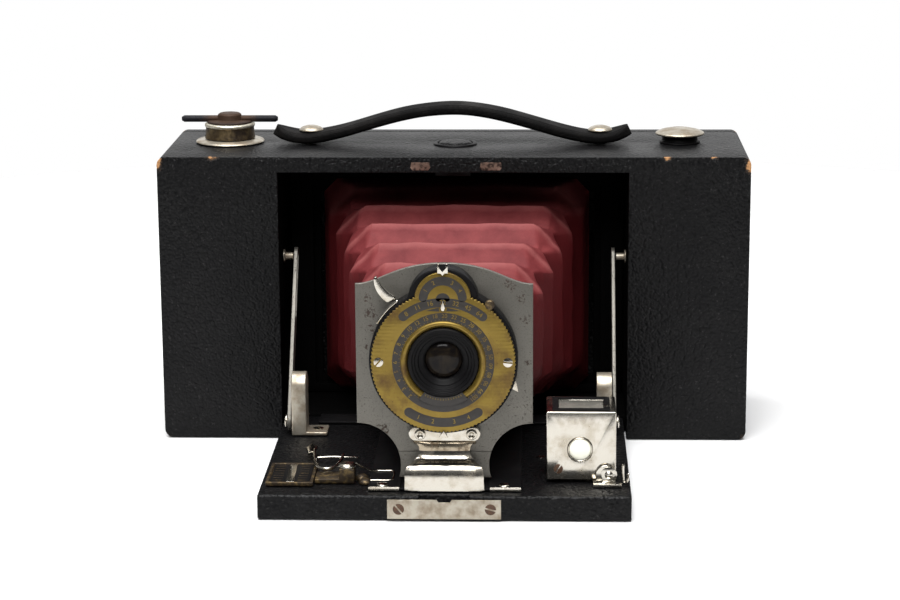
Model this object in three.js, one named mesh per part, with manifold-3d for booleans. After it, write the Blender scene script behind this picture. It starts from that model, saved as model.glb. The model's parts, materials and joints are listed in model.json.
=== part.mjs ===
// Horizontal folding-bed roll-film camera, standing on its base with the bed let down.
// Millimetres. +X is the viewer's right when facing the lens, +Y points to the camera's back, +Z up.
// The origin is the middle of the case's underside.
import * as THREE from 'three';
import * as BufferGeometryUtils from 'three/addons/utils/BufferGeometryUtils.js';
import Module from 'manifold-3d';

const wasm = await Module();
wasm.setup();

// ---------------------------------------------------------------- driving dimensions
const GAP = 0.3;                       // clearance between touching pieces

const CASE = { width: 171, depth: 50, height: 84, corner: 2.5 };
const FRONT = -CASE.depth / 2;
const WALL = { top: 4.5, floor: 5, side: 4.5, front: 4.5, partition: 2.6, back: 4.7 };
const MOUTH = { halfWidth: 50.6, top: 79.5 };          // opening that the closed bed fills
const ROOM_TOP = CASE.height - WALL.top;
const BED_POCKET = 8.3;                // depth that the closed bed and its fittings need

const BED = { halfWidth: 49.5, length: 77, thick: 6.8 };
const BED_TOP = BED.thick + GAP;       // height of fittings that lie on the bed

const PLATE = { back: -91.2, thick: 1.2, halfWidth: 23.4, shoulder: 62, peak: 67.6 };
const SHUTTER = { height: 42.3, radius: 19.6, faceRadius: 19, back: 1.5, front: 8.2 };
const FACE = { back: 8.5, front: 9.4, lobeRadius: 7.4, lobeHeight: 16.7 };
const BLADE_PLANE = 4.3;               // where the shutter blade swings, between the lens cells

// Each strut turns on its lug at the bed's side; a pin on the case wall stands in the strut's slot.
const STRUT = { x: 46, thick: 1, halfWidth: 2.6, footY: -43, footZ: 10.4, pinY: -14.9, pinZ: 52.8 };
const STRUT_SLOT = { start: 31.5, halfWidth: 1.4 };
const LUG = { inner: 41.4, outer: 45.6, halfDepth: 4, shoulder: 21 };
const SPOOL = { y: 1, bottom: 6.3, length: 65, flangeRadius: 12.5, coreRadius: 6.2 };
const KEY_X = -67.2;
const KNOB_X = 66.4;
const ROLLER = { x: 56.5, y: 12.7, radius: 2.2, bottom: 6.5, top: 71.5 };
const GATE = { y: 10.2, thick: 2.3, halfWidth: 41.5, halfHeight: 28.5 };
const GATE_Z = SPOOL.bottom + SPOOL.length / 2;
const BUTTON = { y: -2.3, radius: 5 };
const WINDOW_RADIUS = 7;
const FINDER = { left: 27, right: 45.6, bottom: 7.8, top: 26.6, front: -90, depth: 16, wall: 0.8 };
const FINDER_PIVOT = { x: 43.7, z: 9.6 };
const STRAP = {
  halfWidth: 6.5, thick: 3, studX: 42.8, endX: 53.2, shift: -1, seat: 84.4, rise: 8.6, curl: 2.6,
};

// ---------------------------------------------------------------- helpers
function toSolid(geometry) {
  const bare = geometry.index ? geometry.toNonIndexed() : geometry.clone();
  bare.deleteAttribute('normal');
  bare.deleteAttribute('uv');
  const merged = BufferGeometryUtils.mergeVertices(bare, 1e-4);
  return new wasm.Manifold(new wasm.Mesh({
    numProp: 3,
    vertProperties: new Float32Array(merged.attributes.position.array),
    triVerts: new Uint32Array(merged.index.array),
  }));
}

function toGeometry(solid) {
  const mesh = solid.getMesh();
  const geometry = new THREE.BufferGeometry();
  geometry.setAttribute('position', new THREE.BufferAttribute(new Float32Array(mesh.vertProperties), 3));
  geometry.setIndex(new THREE.BufferAttribute(new Uint32Array(mesh.triVerts), 1));
  geometry.computeVertexNormals();
  return geometry;
}

function join(first, ...others) {
  return toGeometry(others.reduce((solid, other) => solid.add(toSolid(other)), toSolid(first)));
}

function cut(first, ...others) {
  return toGeometry(others.reduce((solid, other) => solid.subtract(toSolid(other)), toSolid(first)));
}

function block(x0, x1, y0, y1, z0, z1) {
  const geometry = new THREE.BoxGeometry(x1 - x0, y1 - y0, z1 - z0);
  return geometry.translate((x0 + x1) / 2, (y0 + y1) / 2, (z0 + z1) / 2);
}

// A turned piece about the Z axis; the profile is a list of [radius, z] from the axis round to the axis,
// or a loop that closes on itself.
function turned(profile, segments = 24) {
  const points = profile.map(([radius, z]) => new THREE.Vector2(radius, z));
  return new THREE.LatheGeometry(points, segments).rotateX(Math.PI / 2);
}

function rod(radius, z0, z1, segments = 24) {
  return turned([[0, z0], [radius, z0], [radius, z1], [0, z1]], segments);
}

function ring(inner, outer, z0, z1, segments = 24) {
  return turned([[inner, z0], [outer, z0], [outer, z1], [inner, z1], [inner, z0]], segments);
}

function roundedRectangle(x0, x1, y0, y1, radius) {
  const shape = new THREE.Shape();
  shape.moveTo(x0 + radius, y0);
  shape.lineTo(x1 - radius, y0);
  shape.absarc(x1 - radius, y0 + radius, radius, -Math.PI / 2, 0, false);
  shape.lineTo(x1, y1 - radius);
  shape.absarc(x1 - radius, y1 - radius, radius, 0, Math.PI / 2, false);
  shape.lineTo(x0 + radius, y1);
  shape.absarc(x0 + radius, y1 - radius, radius, Math.PI / 2, Math.PI, false);
  shape.lineTo(x0, y0 + radius);
  shape.absarc(x0 + radius, y0 + radius, radius, Math.PI, 1.5 * Math.PI, false);
  return shape;
}

function slab(shape, z0, z1, curveSegments = 8) {
  const options = { depth: z1 - z0, bevelEnabled: false, curveSegments };
  return new THREE.ExtrudeGeometry(shape, options).translate(0, 0, z0);
}

// The outline of a bent wire or strip of even width along a smooth line through the points.
function ribbon(points, width, steps = 20) {
  const line = new THREE.SplineCurve(points.map(([x, y]) => new THREE.Vector2(x, y)));
  const side = (sign) => Array.from({ length: steps + 1 }, (_, i) => {
    const tangent = line.getTangent(i / steps);
    const normal = new THREE.Vector2(-tangent.y, tangent.x).multiplyScalar(sign * width / 2);
    return line.getPoint(i / steps).add(normal);
  });
  return new THREE.Shape([...side(-1), ...side(1).reverse()]);
}

// Turns a slab drawn in (Y, Z) and extruded along X into place.
const SIDEWAYS = new THREE.Matrix4().makeBasis(
  new THREE.Vector3(0, 1, 0), new THREE.Vector3(0, 0, 1), new THREE.Vector3(1, 0, 0));

function sideSlab(shape, x0, x1, curveSegments = 8) {
  return slab(shape, x0, x1, curveSegments).applyMatrix4(SIDEWAYS);
}

const FINISHES = {
  leatherette: { color: 0x1b1b1c, roughness: 0.62, metalness: 0 },
  blackPaint: { color: 0x141414, roughness: 0.45, metalness: 0 },
  nickel: { color: 0xcfc8bb, roughness: 0.25, metalness: 1 },
  greySteel: { color: 0x6e6b64, roughness: 0.55, metalness: 0.8 },
  brass: { color: 0xa07d2d, roughness: 0.4, metalness: 0.9 },
  strapLeather: { color: 0x231c18, roughness: 0.6, metalness: 0 },
  bellowsLeather: { color: 0x8f4650, roughness: 0.75, metalness: 0 },
  glass: { color: 0x9fb0b5, roughness: 0.05, metalness: 0 },
  redWindow: { color: 0x8c1410, roughness: 0.15, metalness: 0 },
  mirror: { color: 0xdddddd, roughness: 0.05, metalness: 1 },
};
const materials = Object.fromEntries(Object.entries(FINISHES).map(
  ([name, finish]) => [name, new THREE.MeshStandardMaterial({ name, ...finish })]));

const camera = new THREE.Group();

function add(group, name, geometry, finish) {
  const mesh = new THREE.Mesh(geometry, materials[finish]);
  mesh.name = name;
  group.add(mesh);
  return mesh;
}

// ---------------------------------------------------------------- case
function makeCase() {
  const outline = roundedRectangle(-CASE.width / 2, CASE.width / 2, 0, CASE.height, CASE.corner);
  const backOfShell = -FRONT - WALL.back - GAP;
  const upright = new THREE.Matrix4().makeRotationX(Math.PI / 2);
  const outer = slab(outline, -backOfShell, -FRONT, 4).applyMatrix4(upright);
  const roomHalf = CASE.width / 2 - WALL.side;
  const chamberInner = MOUTH.halfWidth + WALL.partition;
  const open = backOfShell + 1;
  const shell = cut(
    outer,
    block(-MOUTH.halfWidth, MOUTH.halfWidth, FRONT - 1, FRONT + BED_POCKET, -1, MOUTH.top),
    block(-MOUTH.halfWidth, MOUTH.halfWidth, FRONT + 5, open, WALL.floor, ROOM_TOP),
    block(-roomHalf, -chamberInner, FRONT + WALL.front, open, WALL.floor, ROOM_TOP),
    block(chamberInner, roomHalf, FRONT + WALL.front, open, WALL.floor, ROOM_TOP),
    block(-roomHalf, roomHalf, GATE.y + 1, open, WALL.floor, ROOM_TOP),
    block(-6, 6, FRONT + 1.5, BUTTON.y + 7, ROOM_TOP - 1, ROOM_TOP + 2.4),
    rod(BUTTON.radius + GAP, 70, 90).translate(0, BUTTON.y, 0),
    rod(3.2, 70, 90, 16).translate(KEY_X, SPOOL.y, 0),
    rod(2.8, 70, 90, 16).translate(KNOB_X, SPOOL.y, 0),
  );
  add(camera, 'case_shell', shell, 'leatherette');

  const gateTop = ROOM_TOP - GAP;
  const gate = cut(
    block(-50, 50, GATE.y, GATE.y + GATE.thick, WALL.floor + GAP, gateTop),
    block(-GATE.halfWidth, GATE.halfWidth, 0, 20, GATE_Z - GATE.halfHeight, GATE_Z + GATE.halfHeight),
  );
  add(camera, 'film_gate', gate, 'blackPaint');
  const frame = cut(
    block(-50, 50, GATE.y - 2.8, GATE.y - GAP, WALL.floor + GAP, gateTop),
    block(-43.5, 43.5, 0, 20, GATE_Z - 31, GATE_Z + 31),
  );
  add(camera, 'bellows_rear_frame', frame, 'blackPaint');
  add(camera, 'button_ring', ring(BUTTON.radius + GAP, 6.4, CASE.height + GAP, 84.8)
    .translate(0, BUTTON.y, 0), 'blackPaint');
  add(camera, 'key_escutcheon', ring(3.2, 10.3, CASE.height + GAP, 85.3, 28)
    .translate(KEY_X, SPOOL.y, 0), 'nickel');
  add(camera, 'knob_collar', ring(2.8, 5.3, CASE.height + GAP, 85.9, 20)
    .translate(KNOB_X, SPOOL.y, 0), 'blackPaint');
}

// Bed release: the button presses the tail of a rocking catch that hooks over the bed's latch plate.
function makeBedCatch() {
  const button = turned([[0, 81.3], [BUTTON.radius, 81.3], [BUTTON.radius, 84.4], [4.4, 84.9], [0, 85]]);
  add(camera, 'release_button', button.translate(0, BUTTON.y, 0), 'leatherette');
  const profile = new THREE.Shape();
  profile.moveTo(FRONT + 2, 78.2);
  profile.lineTo(FRONT + 3.2, 78.2);
  profile.lineTo(FRONT + 3.2, 79.8);
  profile.lineTo(BUTTON.y + 4.5, 79.8);
  profile.lineTo(BUTTON.y + 4.5, 80.6);
  profile.lineTo(FRONT + 2, 80.6);
  add(camera, 'bed_catch', sideSlab(profile, -5, 5), 'greySteel');
}

// ---------------------------------------------------------------- film transport
function spoolGeometry() {
  const { bottom, length, flangeRadius, coreRadius } = SPOOL;
  const top = bottom + length;
  return turned([
    [0, bottom + 3], [2.6, bottom + 3], [2.6, bottom], [flangeRadius, bottom], [flangeRadius, bottom + 0.8],
    [coreRadius, bottom + 0.8], [coreRadius, top - 0.8], [flangeRadius, top - 0.8], [flangeRadius, top],
    [2.6, top], [2.6, top - 3], [0, top - 3],
  ], 28);
}

function makeFilmTransport() {
  for (const [side, x] of [['left', KEY_X], ['right', KNOB_X]]) {
    const pin = turned([[0, 5.3], [4, 5.3], [4, 5.9], [2, 5.9], [2, 8.6], [0, 8.6]], 16);
    add(camera, `spool_pin_${side}`, pin.translate(x, SPOOL.y, 0), 'nickel');
    const roller = rod(ROLLER.radius, ROLLER.bottom, ROLLER.top, 16);
    add(camera, `film_roller_${side}`, roller.translate(Math.sign(x) * ROLLER.x, ROLLER.y, 0), 'nickel');
  }
  add(camera, 'takeup_spool', spoolGeometry().translate(KEY_X, SPOOL.y, 0), 'blackPaint');
  add(camera, 'feed_spool', spoolGeometry().translate(KNOB_X, SPOOL.y, 0), 'blackPaint');

  const stem = turned([
    [0, 71.9], [2.3, 71.9], [2.3, 85.6], [7.5, 85.6], [7.5, 89.2], [6.6, 89.9], [3.5, 89.9], [3.5, 92.6],
    [2.8, 92.9], [0, 92.9],
  ]);
  const wing = slab(roundedRectangle(-14.3, 14.4, -2.6, 2.6, 2.5), 90, 92, 6);
  add(camera, 'winding_key', join(stem, wing).translate(KEY_X, SPOOL.y, 0), 'greySteel');
  add(camera, 'key_clutch', ring(2.9, 6, 76.4, 78.6, 20).translate(KEY_X, SPOOL.y, 0), 'nickel');
  const knob = turned([
    [0, 71.9], [2.2, 71.9], [2.2, 86.2], [7.35, 86.2], [7.35, 87.1], [5.8, 88], [3, 88.4], [0, 88.5],
  ], 28);
  add(camera, 'spool_knob', knob.translate(KNOB_X, SPOOL.y, 0), 'nickel');
}

// ---------------------------------------------------------------- back
function makeBack() {
  const inner = -FRONT - WALL.back;
  const upright = new THREE.Matrix4().makeRotationX(Math.PI / 2);
  const outline = roundedRectangle(-CASE.width / 2, CASE.width / 2, 0, CASE.height, CASE.corner);
  const plate = slab(outline, FRONT, -inner, 4).applyMatrix4(upright);
  const lipHalf = CASE.width / 2 - WALL.side - GAP;
  const lip = cut(
    block(-lipHalf, lipHalf, inner - 2.2, inner + 0.5, WALL.floor + GAP, ROOM_TOP - GAP),
    block(-lipHalf + 2, lipHalf - 2, inner - 3, inner, WALL.floor + 2.3, ROOM_TOP - 2.3),
  );
  const forward = (geometry, y) => geometry.applyMatrix4(upright).translate(0, y, GATE_Z);
  const hole = forward(rod(WINDOW_RADIUS + 2.3, -10, 10, 28), inner);
  add(camera, 'back_cover', cut(join(plate, lip), hole), 'leatherette');
  add(camera, 'red_window', forward(rod(WINDOW_RADIUS + 1.9, -1.6, 0, 24), inner + 0.3), 'redWindow');
  add(camera, 'window_ring', forward(
    ring(WINDOW_RADIUS, WINDOW_RADIUS + 2, -2.6, 0, 28), inner + 2.3), 'nickel');
}

// ---------------------------------------------------------------- handle
// Height of the strap's underside: an arch between the studs, and ends that curl up beyond them.
function strapHeight(x) {
  const along = Math.abs(x - STRAP.shift);
  if (along > STRAP.studX) {
    return STRAP.seat + STRAP.curl * ((along - STRAP.studX) / (STRAP.endX - STRAP.studX)) ** 2;
  }
  return STRAP.seat + STRAP.rise * (0.5 + 0.5 * Math.cos(Math.PI * along / STRAP.studX)) ** 0.8;
}

function makeHandle() {
  const steps = 40;
  const outline = new THREE.Shape();
  const xAt = (i) => STRAP.shift - STRAP.endX + 2 * STRAP.endX * i / steps;
  outline.moveTo(xAt(0), strapHeight(xAt(0)));
  for (let i = 1; i <= steps; i++) outline.lineTo(xAt(i), strapHeight(xAt(i)));
  for (let i = steps; i >= 0; i--) outline.lineTo(xAt(i), strapHeight(xAt(i)) + STRAP.thick);
  const strap = slab(outline, -STRAP.halfWidth, STRAP.halfWidth).rotateX(Math.PI / 2);
  const holes = [-1, 1].map((side) => rod(2, 80, 95, 12).translate(side * STRAP.studX, 0, 0));
  add(camera, 'handle_strap', cut(strap, ...holes), 'strapLeather');
  for (const [side, sign] of [['left', -1], ['right', 1]]) {
    const stud = turned([
      [0, 84.3], [1.6, 84.3], [1.6, 87.9], [3.3, 87.9], [3, 88.6], [1.8, 89.1], [0, 89.3],
    ], 16);
    add(camera, `handle_stud_${side}`, stud.translate(sign * STRAP.studX, 0, 0), 'nickel');
  }
}

// ---------------------------------------------------------------- bed and its fittings
// Along the bed, distances run forward from the hinge line, which is the case's lower front edge.
const bed = new THREE.Group();
bed.position.set(0, FRONT, 0);
camera.add(bed);

function makeBed() {
  const edge = roundedRectangle(-BED.length, -GAP, 0, BED.thick, 0.8);
  const notch = block(-6.5, 6.5, -BED.length - 1, -BED.length + 1.6, BED.thick - 3.4, BED.thick + 1);
  add(bed, 'bed_board', cut(sideSlab(edge, -BED.halfWidth, BED.halfWidth, 3), notch), 'leatherette');
  add(bed, 'hinge_leaf', block(-39, 39, -9.5, -1, BED_TOP, BED_TOP + 0.6), 'greySteel');
  const latch = slab(roundedRectangle(-15, 15.1, 0.6, 5.9, 0.7), BED.length + GAP, BED.length + 0.8, 3)
    .rotateX(Math.PI / 2);
  const slot = block(-2.5, 2.5, -BED.length - 2, -BED.length, 4.7, 7);
  add(bed, 'latch_plate', cut(latch, slot), 'nickel');
  const trackShape = roundedRectangle(-20.3, 20.3, -73.2, -10.5, 1);
  const groove = block(-11.8, 11.8, -75, -9, BED_TOP + 0.5, 10);
  add(bed, 'track_plate', cut(slab(trackShape, BED_TOP, BED_TOP + 0.9, 3), groove), 'blackPaint');
}

function makeFocusScale() {
  const tray = cut(
    block(-48, -35.3, -70, -52, BED_TOP, BED_TOP + 1.1),
    block(-47.2, -36.1, -69.2, -52.8, BED_TOP + 0.6, 10),
  );
  add(bed, 'focus_scale', tray, 'brass');
  const stop = join(
    block(-35, -28, -67.5, -60.2, BED_TOP, BED_TOP + 1.2),
    block(-28.4, -24.3, -67.5, -62.5, BED_TOP, BED_TOP + 4),
  );
  add(bed, 'focus_stop', stop, 'brass');
  const bend = ribbon([
    [-37.2, -43], [-36.6, -52], [-35.6, -58.5], [-32.6, -61.6], [-29.7, -58.5], [-28.6, -51.5],
  ], 0.9);
  const thumb = new THREE.Shape();
  thumb.moveTo(-36.6, -45);
  thumb.lineTo(-36, -41);
  thumb.lineTo(-38.4, -38);
  thumb.lineTo(-39.9, -43);
  const lever = join(slab(bend, BED_TOP + 1.5, BED_TOP + 2.4), slab(thumb, BED_TOP + 1.5, BED_TOP + 2.4));
  add(bed, 'focus_lock_lever', lever, 'nickel');
}

function circle(x, y, radius) {
  return new THREE.Shape().absarc(x, y, radius, 0, 2 * Math.PI, false);
}

function makeStrutLugs() {
  const { inner, outer, halfDepth, shoulder } = LUG;
  const y = STRUT.footY - FRONT;
  const pivotRadius = 1.2;
  const shape = new THREE.Shape();
  shape.moveTo(y - halfDepth, BED_TOP);
  shape.lineTo(y + halfDepth, BED_TOP);
  shape.lineTo(y + halfDepth, shoulder);
  shape.absarc(y, shoulder, halfDepth, 0, Math.PI, false);
  const upright = sideSlab(shape, inner, outer, 10);
  const flange = block(35.5, inner + 1, y - halfDepth, y + halfDepth, BED_TOP, BED_TOP + 1);
  const pivot = sideSlab(circle(y, STRUT.footZ, pivotRadius), outer - 1, STRUT.x + STRUT.thick + 0.5, 6);
  const lug = join(upright, flange, pivot);
  add(bed, 'strut_lug_right', lug, 'nickel');
  add(bed, 'strut_lug_left', mirrored(lug), 'nickel');
}

// The same solid on the other side of the middle plane, with its faces still pointing out.
function mirrored(geometry) {
  return toGeometry(toSolid(geometry).mirror([1, 0, 0]));
}

function makeStruts() {
  const { x, thick, halfWidth, footY, footZ, pinY, pinZ } = STRUT;
  const eyeRadius = 1.5;
  const reach = Math.hypot(pinY - footY, pinZ - footZ);
  const outline = roundedRectangle(-halfWidth, reach + halfWidth, -halfWidth, halfWidth, halfWidth - 0.05);
  const slot = roundedRectangle(
    STRUT_SLOT.start, reach + STRUT_SLOT.halfWidth, -STRUT_SLOT.halfWidth, STRUT_SLOT.halfWidth,
    STRUT_SLOT.halfWidth - 0.05);
  const eye = rod(eyeRadius, -1, thick + 1, 16);
  const flat = cut(slab(outline, 0, thick, 6), slab(slot, -1, thick + 1, 6), eye);
  const lean = Math.atan2(pinZ - footZ, pinY - footY);
  const strip = flat.rotateZ(lean).applyMatrix4(SIDEWAYS).translate(x, footY, footZ);
  const pin = turned([[0, 47.3], [1.1, 47.3], [1.1, 49.8], [2, 49.8], [2, 50.3], [0, 50.3]], 12)
    .rotateY(Math.PI / 2).translate(0, pinY, pinZ);
  add(camera, 'strut_right', strip, 'nickel');
  add(camera, 'strut_left', mirrored(strip), 'nickel');
  add(camera, 'strut_pin_right', pin, 'nickel');
  add(camera, 'strut_pin_left', mirrored(pin), 'nickel');
}

function makeFinder() {
  const { left, right, bottom, top, front, depth, wall } = FINDER;
  const rear = front + depth;
  const hole = rod(3.3, -wall - 1, 1, 20).rotateX(Math.PI / 2).translate(36, front, 16.2);
  const body = cut(
    block(left, right, front, rear, bottom, top),
    block(left + wall, right - wall, front + wall, rear - wall, bottom + wall, top - wall),
    block(left + 3, right - 3, front + 3, rear - 3, top - wall - 1, top + 1),
    hole,
  );
  add(camera, 'finder_body', body, 'nickel');
  add(camera, 'finder_lens', turned([[0, -0.5], [2.9, -0.5], [2.9, 0.2], [0, 0.9]], 20)
    .rotateX(Math.PI / 2).translate(36, front, 16.2), 'glass');
  add(camera, 'finder_window', block(left + 3.3, right - 3.3, front + 3.3, rear - 3.3, top - 1, top - 0.2),
    'glass');
  const mirror = block(left + 2, right - 2, -8.5, 8.5, -0.4, 0.4).rotateX(-Math.PI / 4);
  add(camera, 'finder_mirror', mirror.translate(0, front + depth / 2, bottom + 8.2), 'mirror');

  const ear = slab(new THREE.Shape().absarc(FINDER_PIVOT.x, FINDER_PIVOT.z, 2.2, 0, 2 * Math.PI), 0, 1.1, 8)
    .rotateX(Math.PI / 2).translate(0, front - GAP, 0);
  const foot = block(39.5, 47, front - 4.5, front - GAP, BED_TOP, BED_TOP + 0.9);
  add(bed, 'finder_bracket', join(ear, foot).translate(0, -FRONT, 0), 'nickel');
}

// ---------------------------------------------------------------- lens standard
// In this group x is sideways, y is height and z runs forward from the plate's rear face.
const standard = new THREE.Group();
standard.position.set(0, PLATE.back, 0);
standard.rotation.x = Math.PI / 2;
camera.add(standard);

function plateShape() {
  const { halfWidth, shoulder, peak } = PLATE;
  const scoop = 11.6;                  // radius of the hollow cut from each lower corner
  const scoopHeight = 12.4;
  const bottom = 16.2;
  const start = Math.asin((bottom - scoopHeight) / scoop);
  const shape = new THREE.Shape();
  shape.moveTo(-halfWidth + scoop * Math.cos(start), bottom);
  shape.lineTo(halfWidth - scoop * Math.cos(start), bottom);
  shape.absarc(halfWidth, scoopHeight, scoop, Math.PI - start, Math.PI / 2, true);
  shape.lineTo(halfWidth, shoulder);
  shape.bezierCurveTo(17, shoulder, 13, peak, 0, peak);
  shape.bezierCurveTo(-13, peak, -17, shoulder, -halfWidth, shoulder);
  shape.lineTo(-halfWidth, scoopHeight + scoop);
  shape.absarc(-halfWidth, scoopHeight, scoop, Math.PI / 2, start, true);
  return shape;
}

function makeStandard() {
  const { height, radius, back, front, faceRadius } = SHUTTER;
  const atLens = (geometry) => geometry.translate(0, height, 0);
  const plate = cut(slab(plateShape(), 0, PLATE.thick, 8), atLens(rod(8.4, -5, 5, 28)));
  add(standard, 'front_plate', plate, 'greySteel');

  const grip = roundedRectangle(-10.4, 9.6, 19.9, 23.6, 1.6);
  const neck = new THREE.Shape();
  neck.moveTo(-8.2, 17.4);
  neck.lineTo(8.4, 17.4);
  neck.quadraticCurveTo(7.2, 18.6, 8.4, 20.5);
  neck.lineTo(-8.8, 20.5);
  neck.quadraticCurveTo(-7.2, 18.6, -8.2, 17.4);
  const clamp = cut(
    join(slab(grip, 1.5, 4.6, 4), slab(neck, 1.5, 6.4, 6)),
    atLens(rod(radius + 0.4, 0, 12, 48)),
  );
  add(standard, 'standard_clamp', clamp, 'nickel');

  const drum = rod(radius, back, front, 40);
  const hump = rod(9.4, back, front, 24).translate(0, FACE.lobeHeight - 1, 0);
  const shutterCase = join(
    cut(join(drum, hump), rod(radius - 1.5, back + 1.2, front + 1, 32), rod(8.4, 0, 5, 24)),
    rod(0.6, back + 0.5, BLADE_PLANE + 1, 8).translate(-10, -9, 0),
  );
  add(standard, 'shutter_case', atLens(shutterCase), 'blackPaint');

  const face = cut(
    join(rod(faceRadius, FACE.back, FACE.front, 48),
      rod(FACE.lobeRadius, FACE.back, FACE.front, 32).translate(0, FACE.lobeHeight, 0)),
    rod(10.6, 5, 12, 32),
  );
  add(standard, 'shutter_face', atLens(face), 'brass');
  add(standard, 'front_cell', atLens(turned([
    [5, 5.4], [9.3, 5.4], [9.3, 8.6], [10.3, 8.6], [10.3, 9.5], [9.3, 9.9], [8.6, 9.5], [5.4, 6.8],
    [5, 6.2], [5, 5.4],
  ], 32)), 'blackPaint');
  const frontLens = turned([[0, 5.5], [4.7, 5.5], [4.7, 5.9], [2.6, 6.6], [0, 6.9]]);
  add(standard, 'front_lens', atLens(frontLens), 'glass');
  add(standard, 'rear_cell', atLens(turned([
    [4.6, -4.6], [7.4, -4.6], [7.4, -GAP], [7.9, -GAP], [7.9, 3.8], [4.6, 3.8], [4.6, -4.6],
  ])), 'blackPaint');
  add(standard, 'rear_lens', atLens(turned([[0, -2.6], [4.3, -2.2], [4.3, -1.6], [0, -0.9]], 20)), 'glass');
  add(standard, 'shutter_air_cylinder', atLens(
    rod(1.8, -6, 6, 12).rotateY(Math.PI / 2).translate(0, 11.7, 5.8)), 'brass');

  const disc = slab(new THREE.Shape().absarc(0, 0, 5.2, 0, 2 * Math.PI), BLADE_PLANE, BLADE_PLANE + 0.4, 10);
  const arm = slab(roundedRectangle(-1.4, 13.4, -1.4, 1.4, 1.3), BLADE_PLANE, BLADE_PLANE + 0.4, 4)
    .rotateZ(Math.atan2(9, 10)).translate(-10, -9, 0);
  const eye = rod(0.9, 0, 9, 10).translate(-10, -9, 0);
  add(standard, 'shutter_blade', atLens(cut(join(disc, arm), eye)), 'blackPaint');

  makePointers(atLens);
}

// A pointer reaches from radius `inner`, where its point lies on the brass face, out to radius `outer`,
// and its tail turns down over the rim of the face.
function pointerGeometry(rim, inner, outer) {
  const half = 1.35;
  const shape = new THREE.Shape();
  shape.moveTo(0, inner);
  shape.lineTo(half, inner + 1.6);
  shape.lineTo(half, outer);
  shape.lineTo(-half, outer);
  shape.lineTo(-half, inner + 1.6);
  const tail = block(-half, half, rim + GAP, outer, FACE.back, FACE.front + GAP + 0.1);
  return join(slab(shape, FACE.front + GAP, FACE.front + 0.8), tail);
}

function makePointers(atLens) {
  const { lobeRadius, lobeHeight } = FACE;
  const { faceRadius } = SHUTTER;
  const speed = pointerGeometry(lobeRadius, lobeRadius - 0.2, lobeRadius + 2.9);
  add(standard, 'speed_pointer', atLens(speed.translate(0, lobeHeight, 0)), 'nickel');
  const aperture = pointerGeometry(faceRadius, faceRadius - 2.2, faceRadius + 1.2).rotateZ(Math.PI);
  add(standard, 'aperture_pointer', atLens(aperture), 'nickel');
  const thumb = new THREE.Shape();
  thumb.absarc(-13.5, 16.4, 1.3, -0.9, Math.PI / 2, false);
  thumb.bezierCurveTo(-15, 18.4, -16.2, 20, -17.4, 21.9);
  thumb.lineTo(-18.2, 21.5);
  thumb.bezierCurveTo(-18, 19, -16.6, 16.4, -14.6, 15.6);
  add(standard, 'release_lever', atLens(slab(thumb, 5.2, 6.2, 6)), 'nickel');
}

function makeFoot() {
  const outline = new THREE.Shape();
  outline.moveTo(-11.4, BED_TOP + 1.2);
  outline.lineTo(11.7, BED_TOP + 1.2);
  outline.quadraticCurveTo(10.4, 11, 10.8, 14.2);
  outline.lineTo(-10.5, 14.2);
  outline.quadraticCurveTo(-10.1, 11, -11.4, BED_TOP + 1.2);
  add(standard, 'standard_foot', slab(outline, 1.4, 8.2, 6), 'nickel');
}

// ---------------------------------------------------------------- bellows
// A tapered square tube; its front end sits higher than its rear end.
function frustum(rearHalfX, rearHalfZ, frontHalfX, frontHalfZ, rearY, frontY, rearZ, frontZ) {
  const geometry = new THREE.BoxGeometry(2, 2, 2);
  const position = geometry.attributes.position;
  for (let i = 0; i < position.count; i++) {
    const atRear = position.getY(i) > 0;
    const x = position.getX(i) * (atRear ? rearHalfX : frontHalfX);
    const z = position.getZ(i) * (atRear ? rearHalfZ : frontHalfZ) + (atRear ? rearZ : frontZ);
    position.setXYZ(i, x, atRear ? rearY : frontY, z);
  }
  return geometry;
}

function makeBellows() {
  const rearY = GATE.y - 3.1;
  const frontY = PLATE.back + GAP;
  const outer = frustum(42.5, 32.5, 20.5, 13.5, rearY, frontY, 38.5, 41);
  const inner = frustum(40, 30, 18, 11, rearY + 1, frontY - 1, 38.5, 41);
  add(camera, 'bellows', cut(outer, inner), 'bellowsLeather');
}

makeCase();
makeBedCatch();
makeFilmTransport();
makeBack();
makeHandle();
makeBed();
makeFocusScale();
makeStrutLugs();
makeStruts();
makeFinder();
makeStandard();
makeFoot();
makeBellows();

export default camera;
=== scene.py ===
"""Looks of the folding roll-film camera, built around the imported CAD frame.

Lengths in this file are millimetres in the row frame (X right, Y toward the camera's back, Z up, origin
under the middle of the case), and MM turns them into Blender's metres.
"""
import json
import math

import bmesh
import bpy
from mathutils import Matrix, Vector, noise

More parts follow.
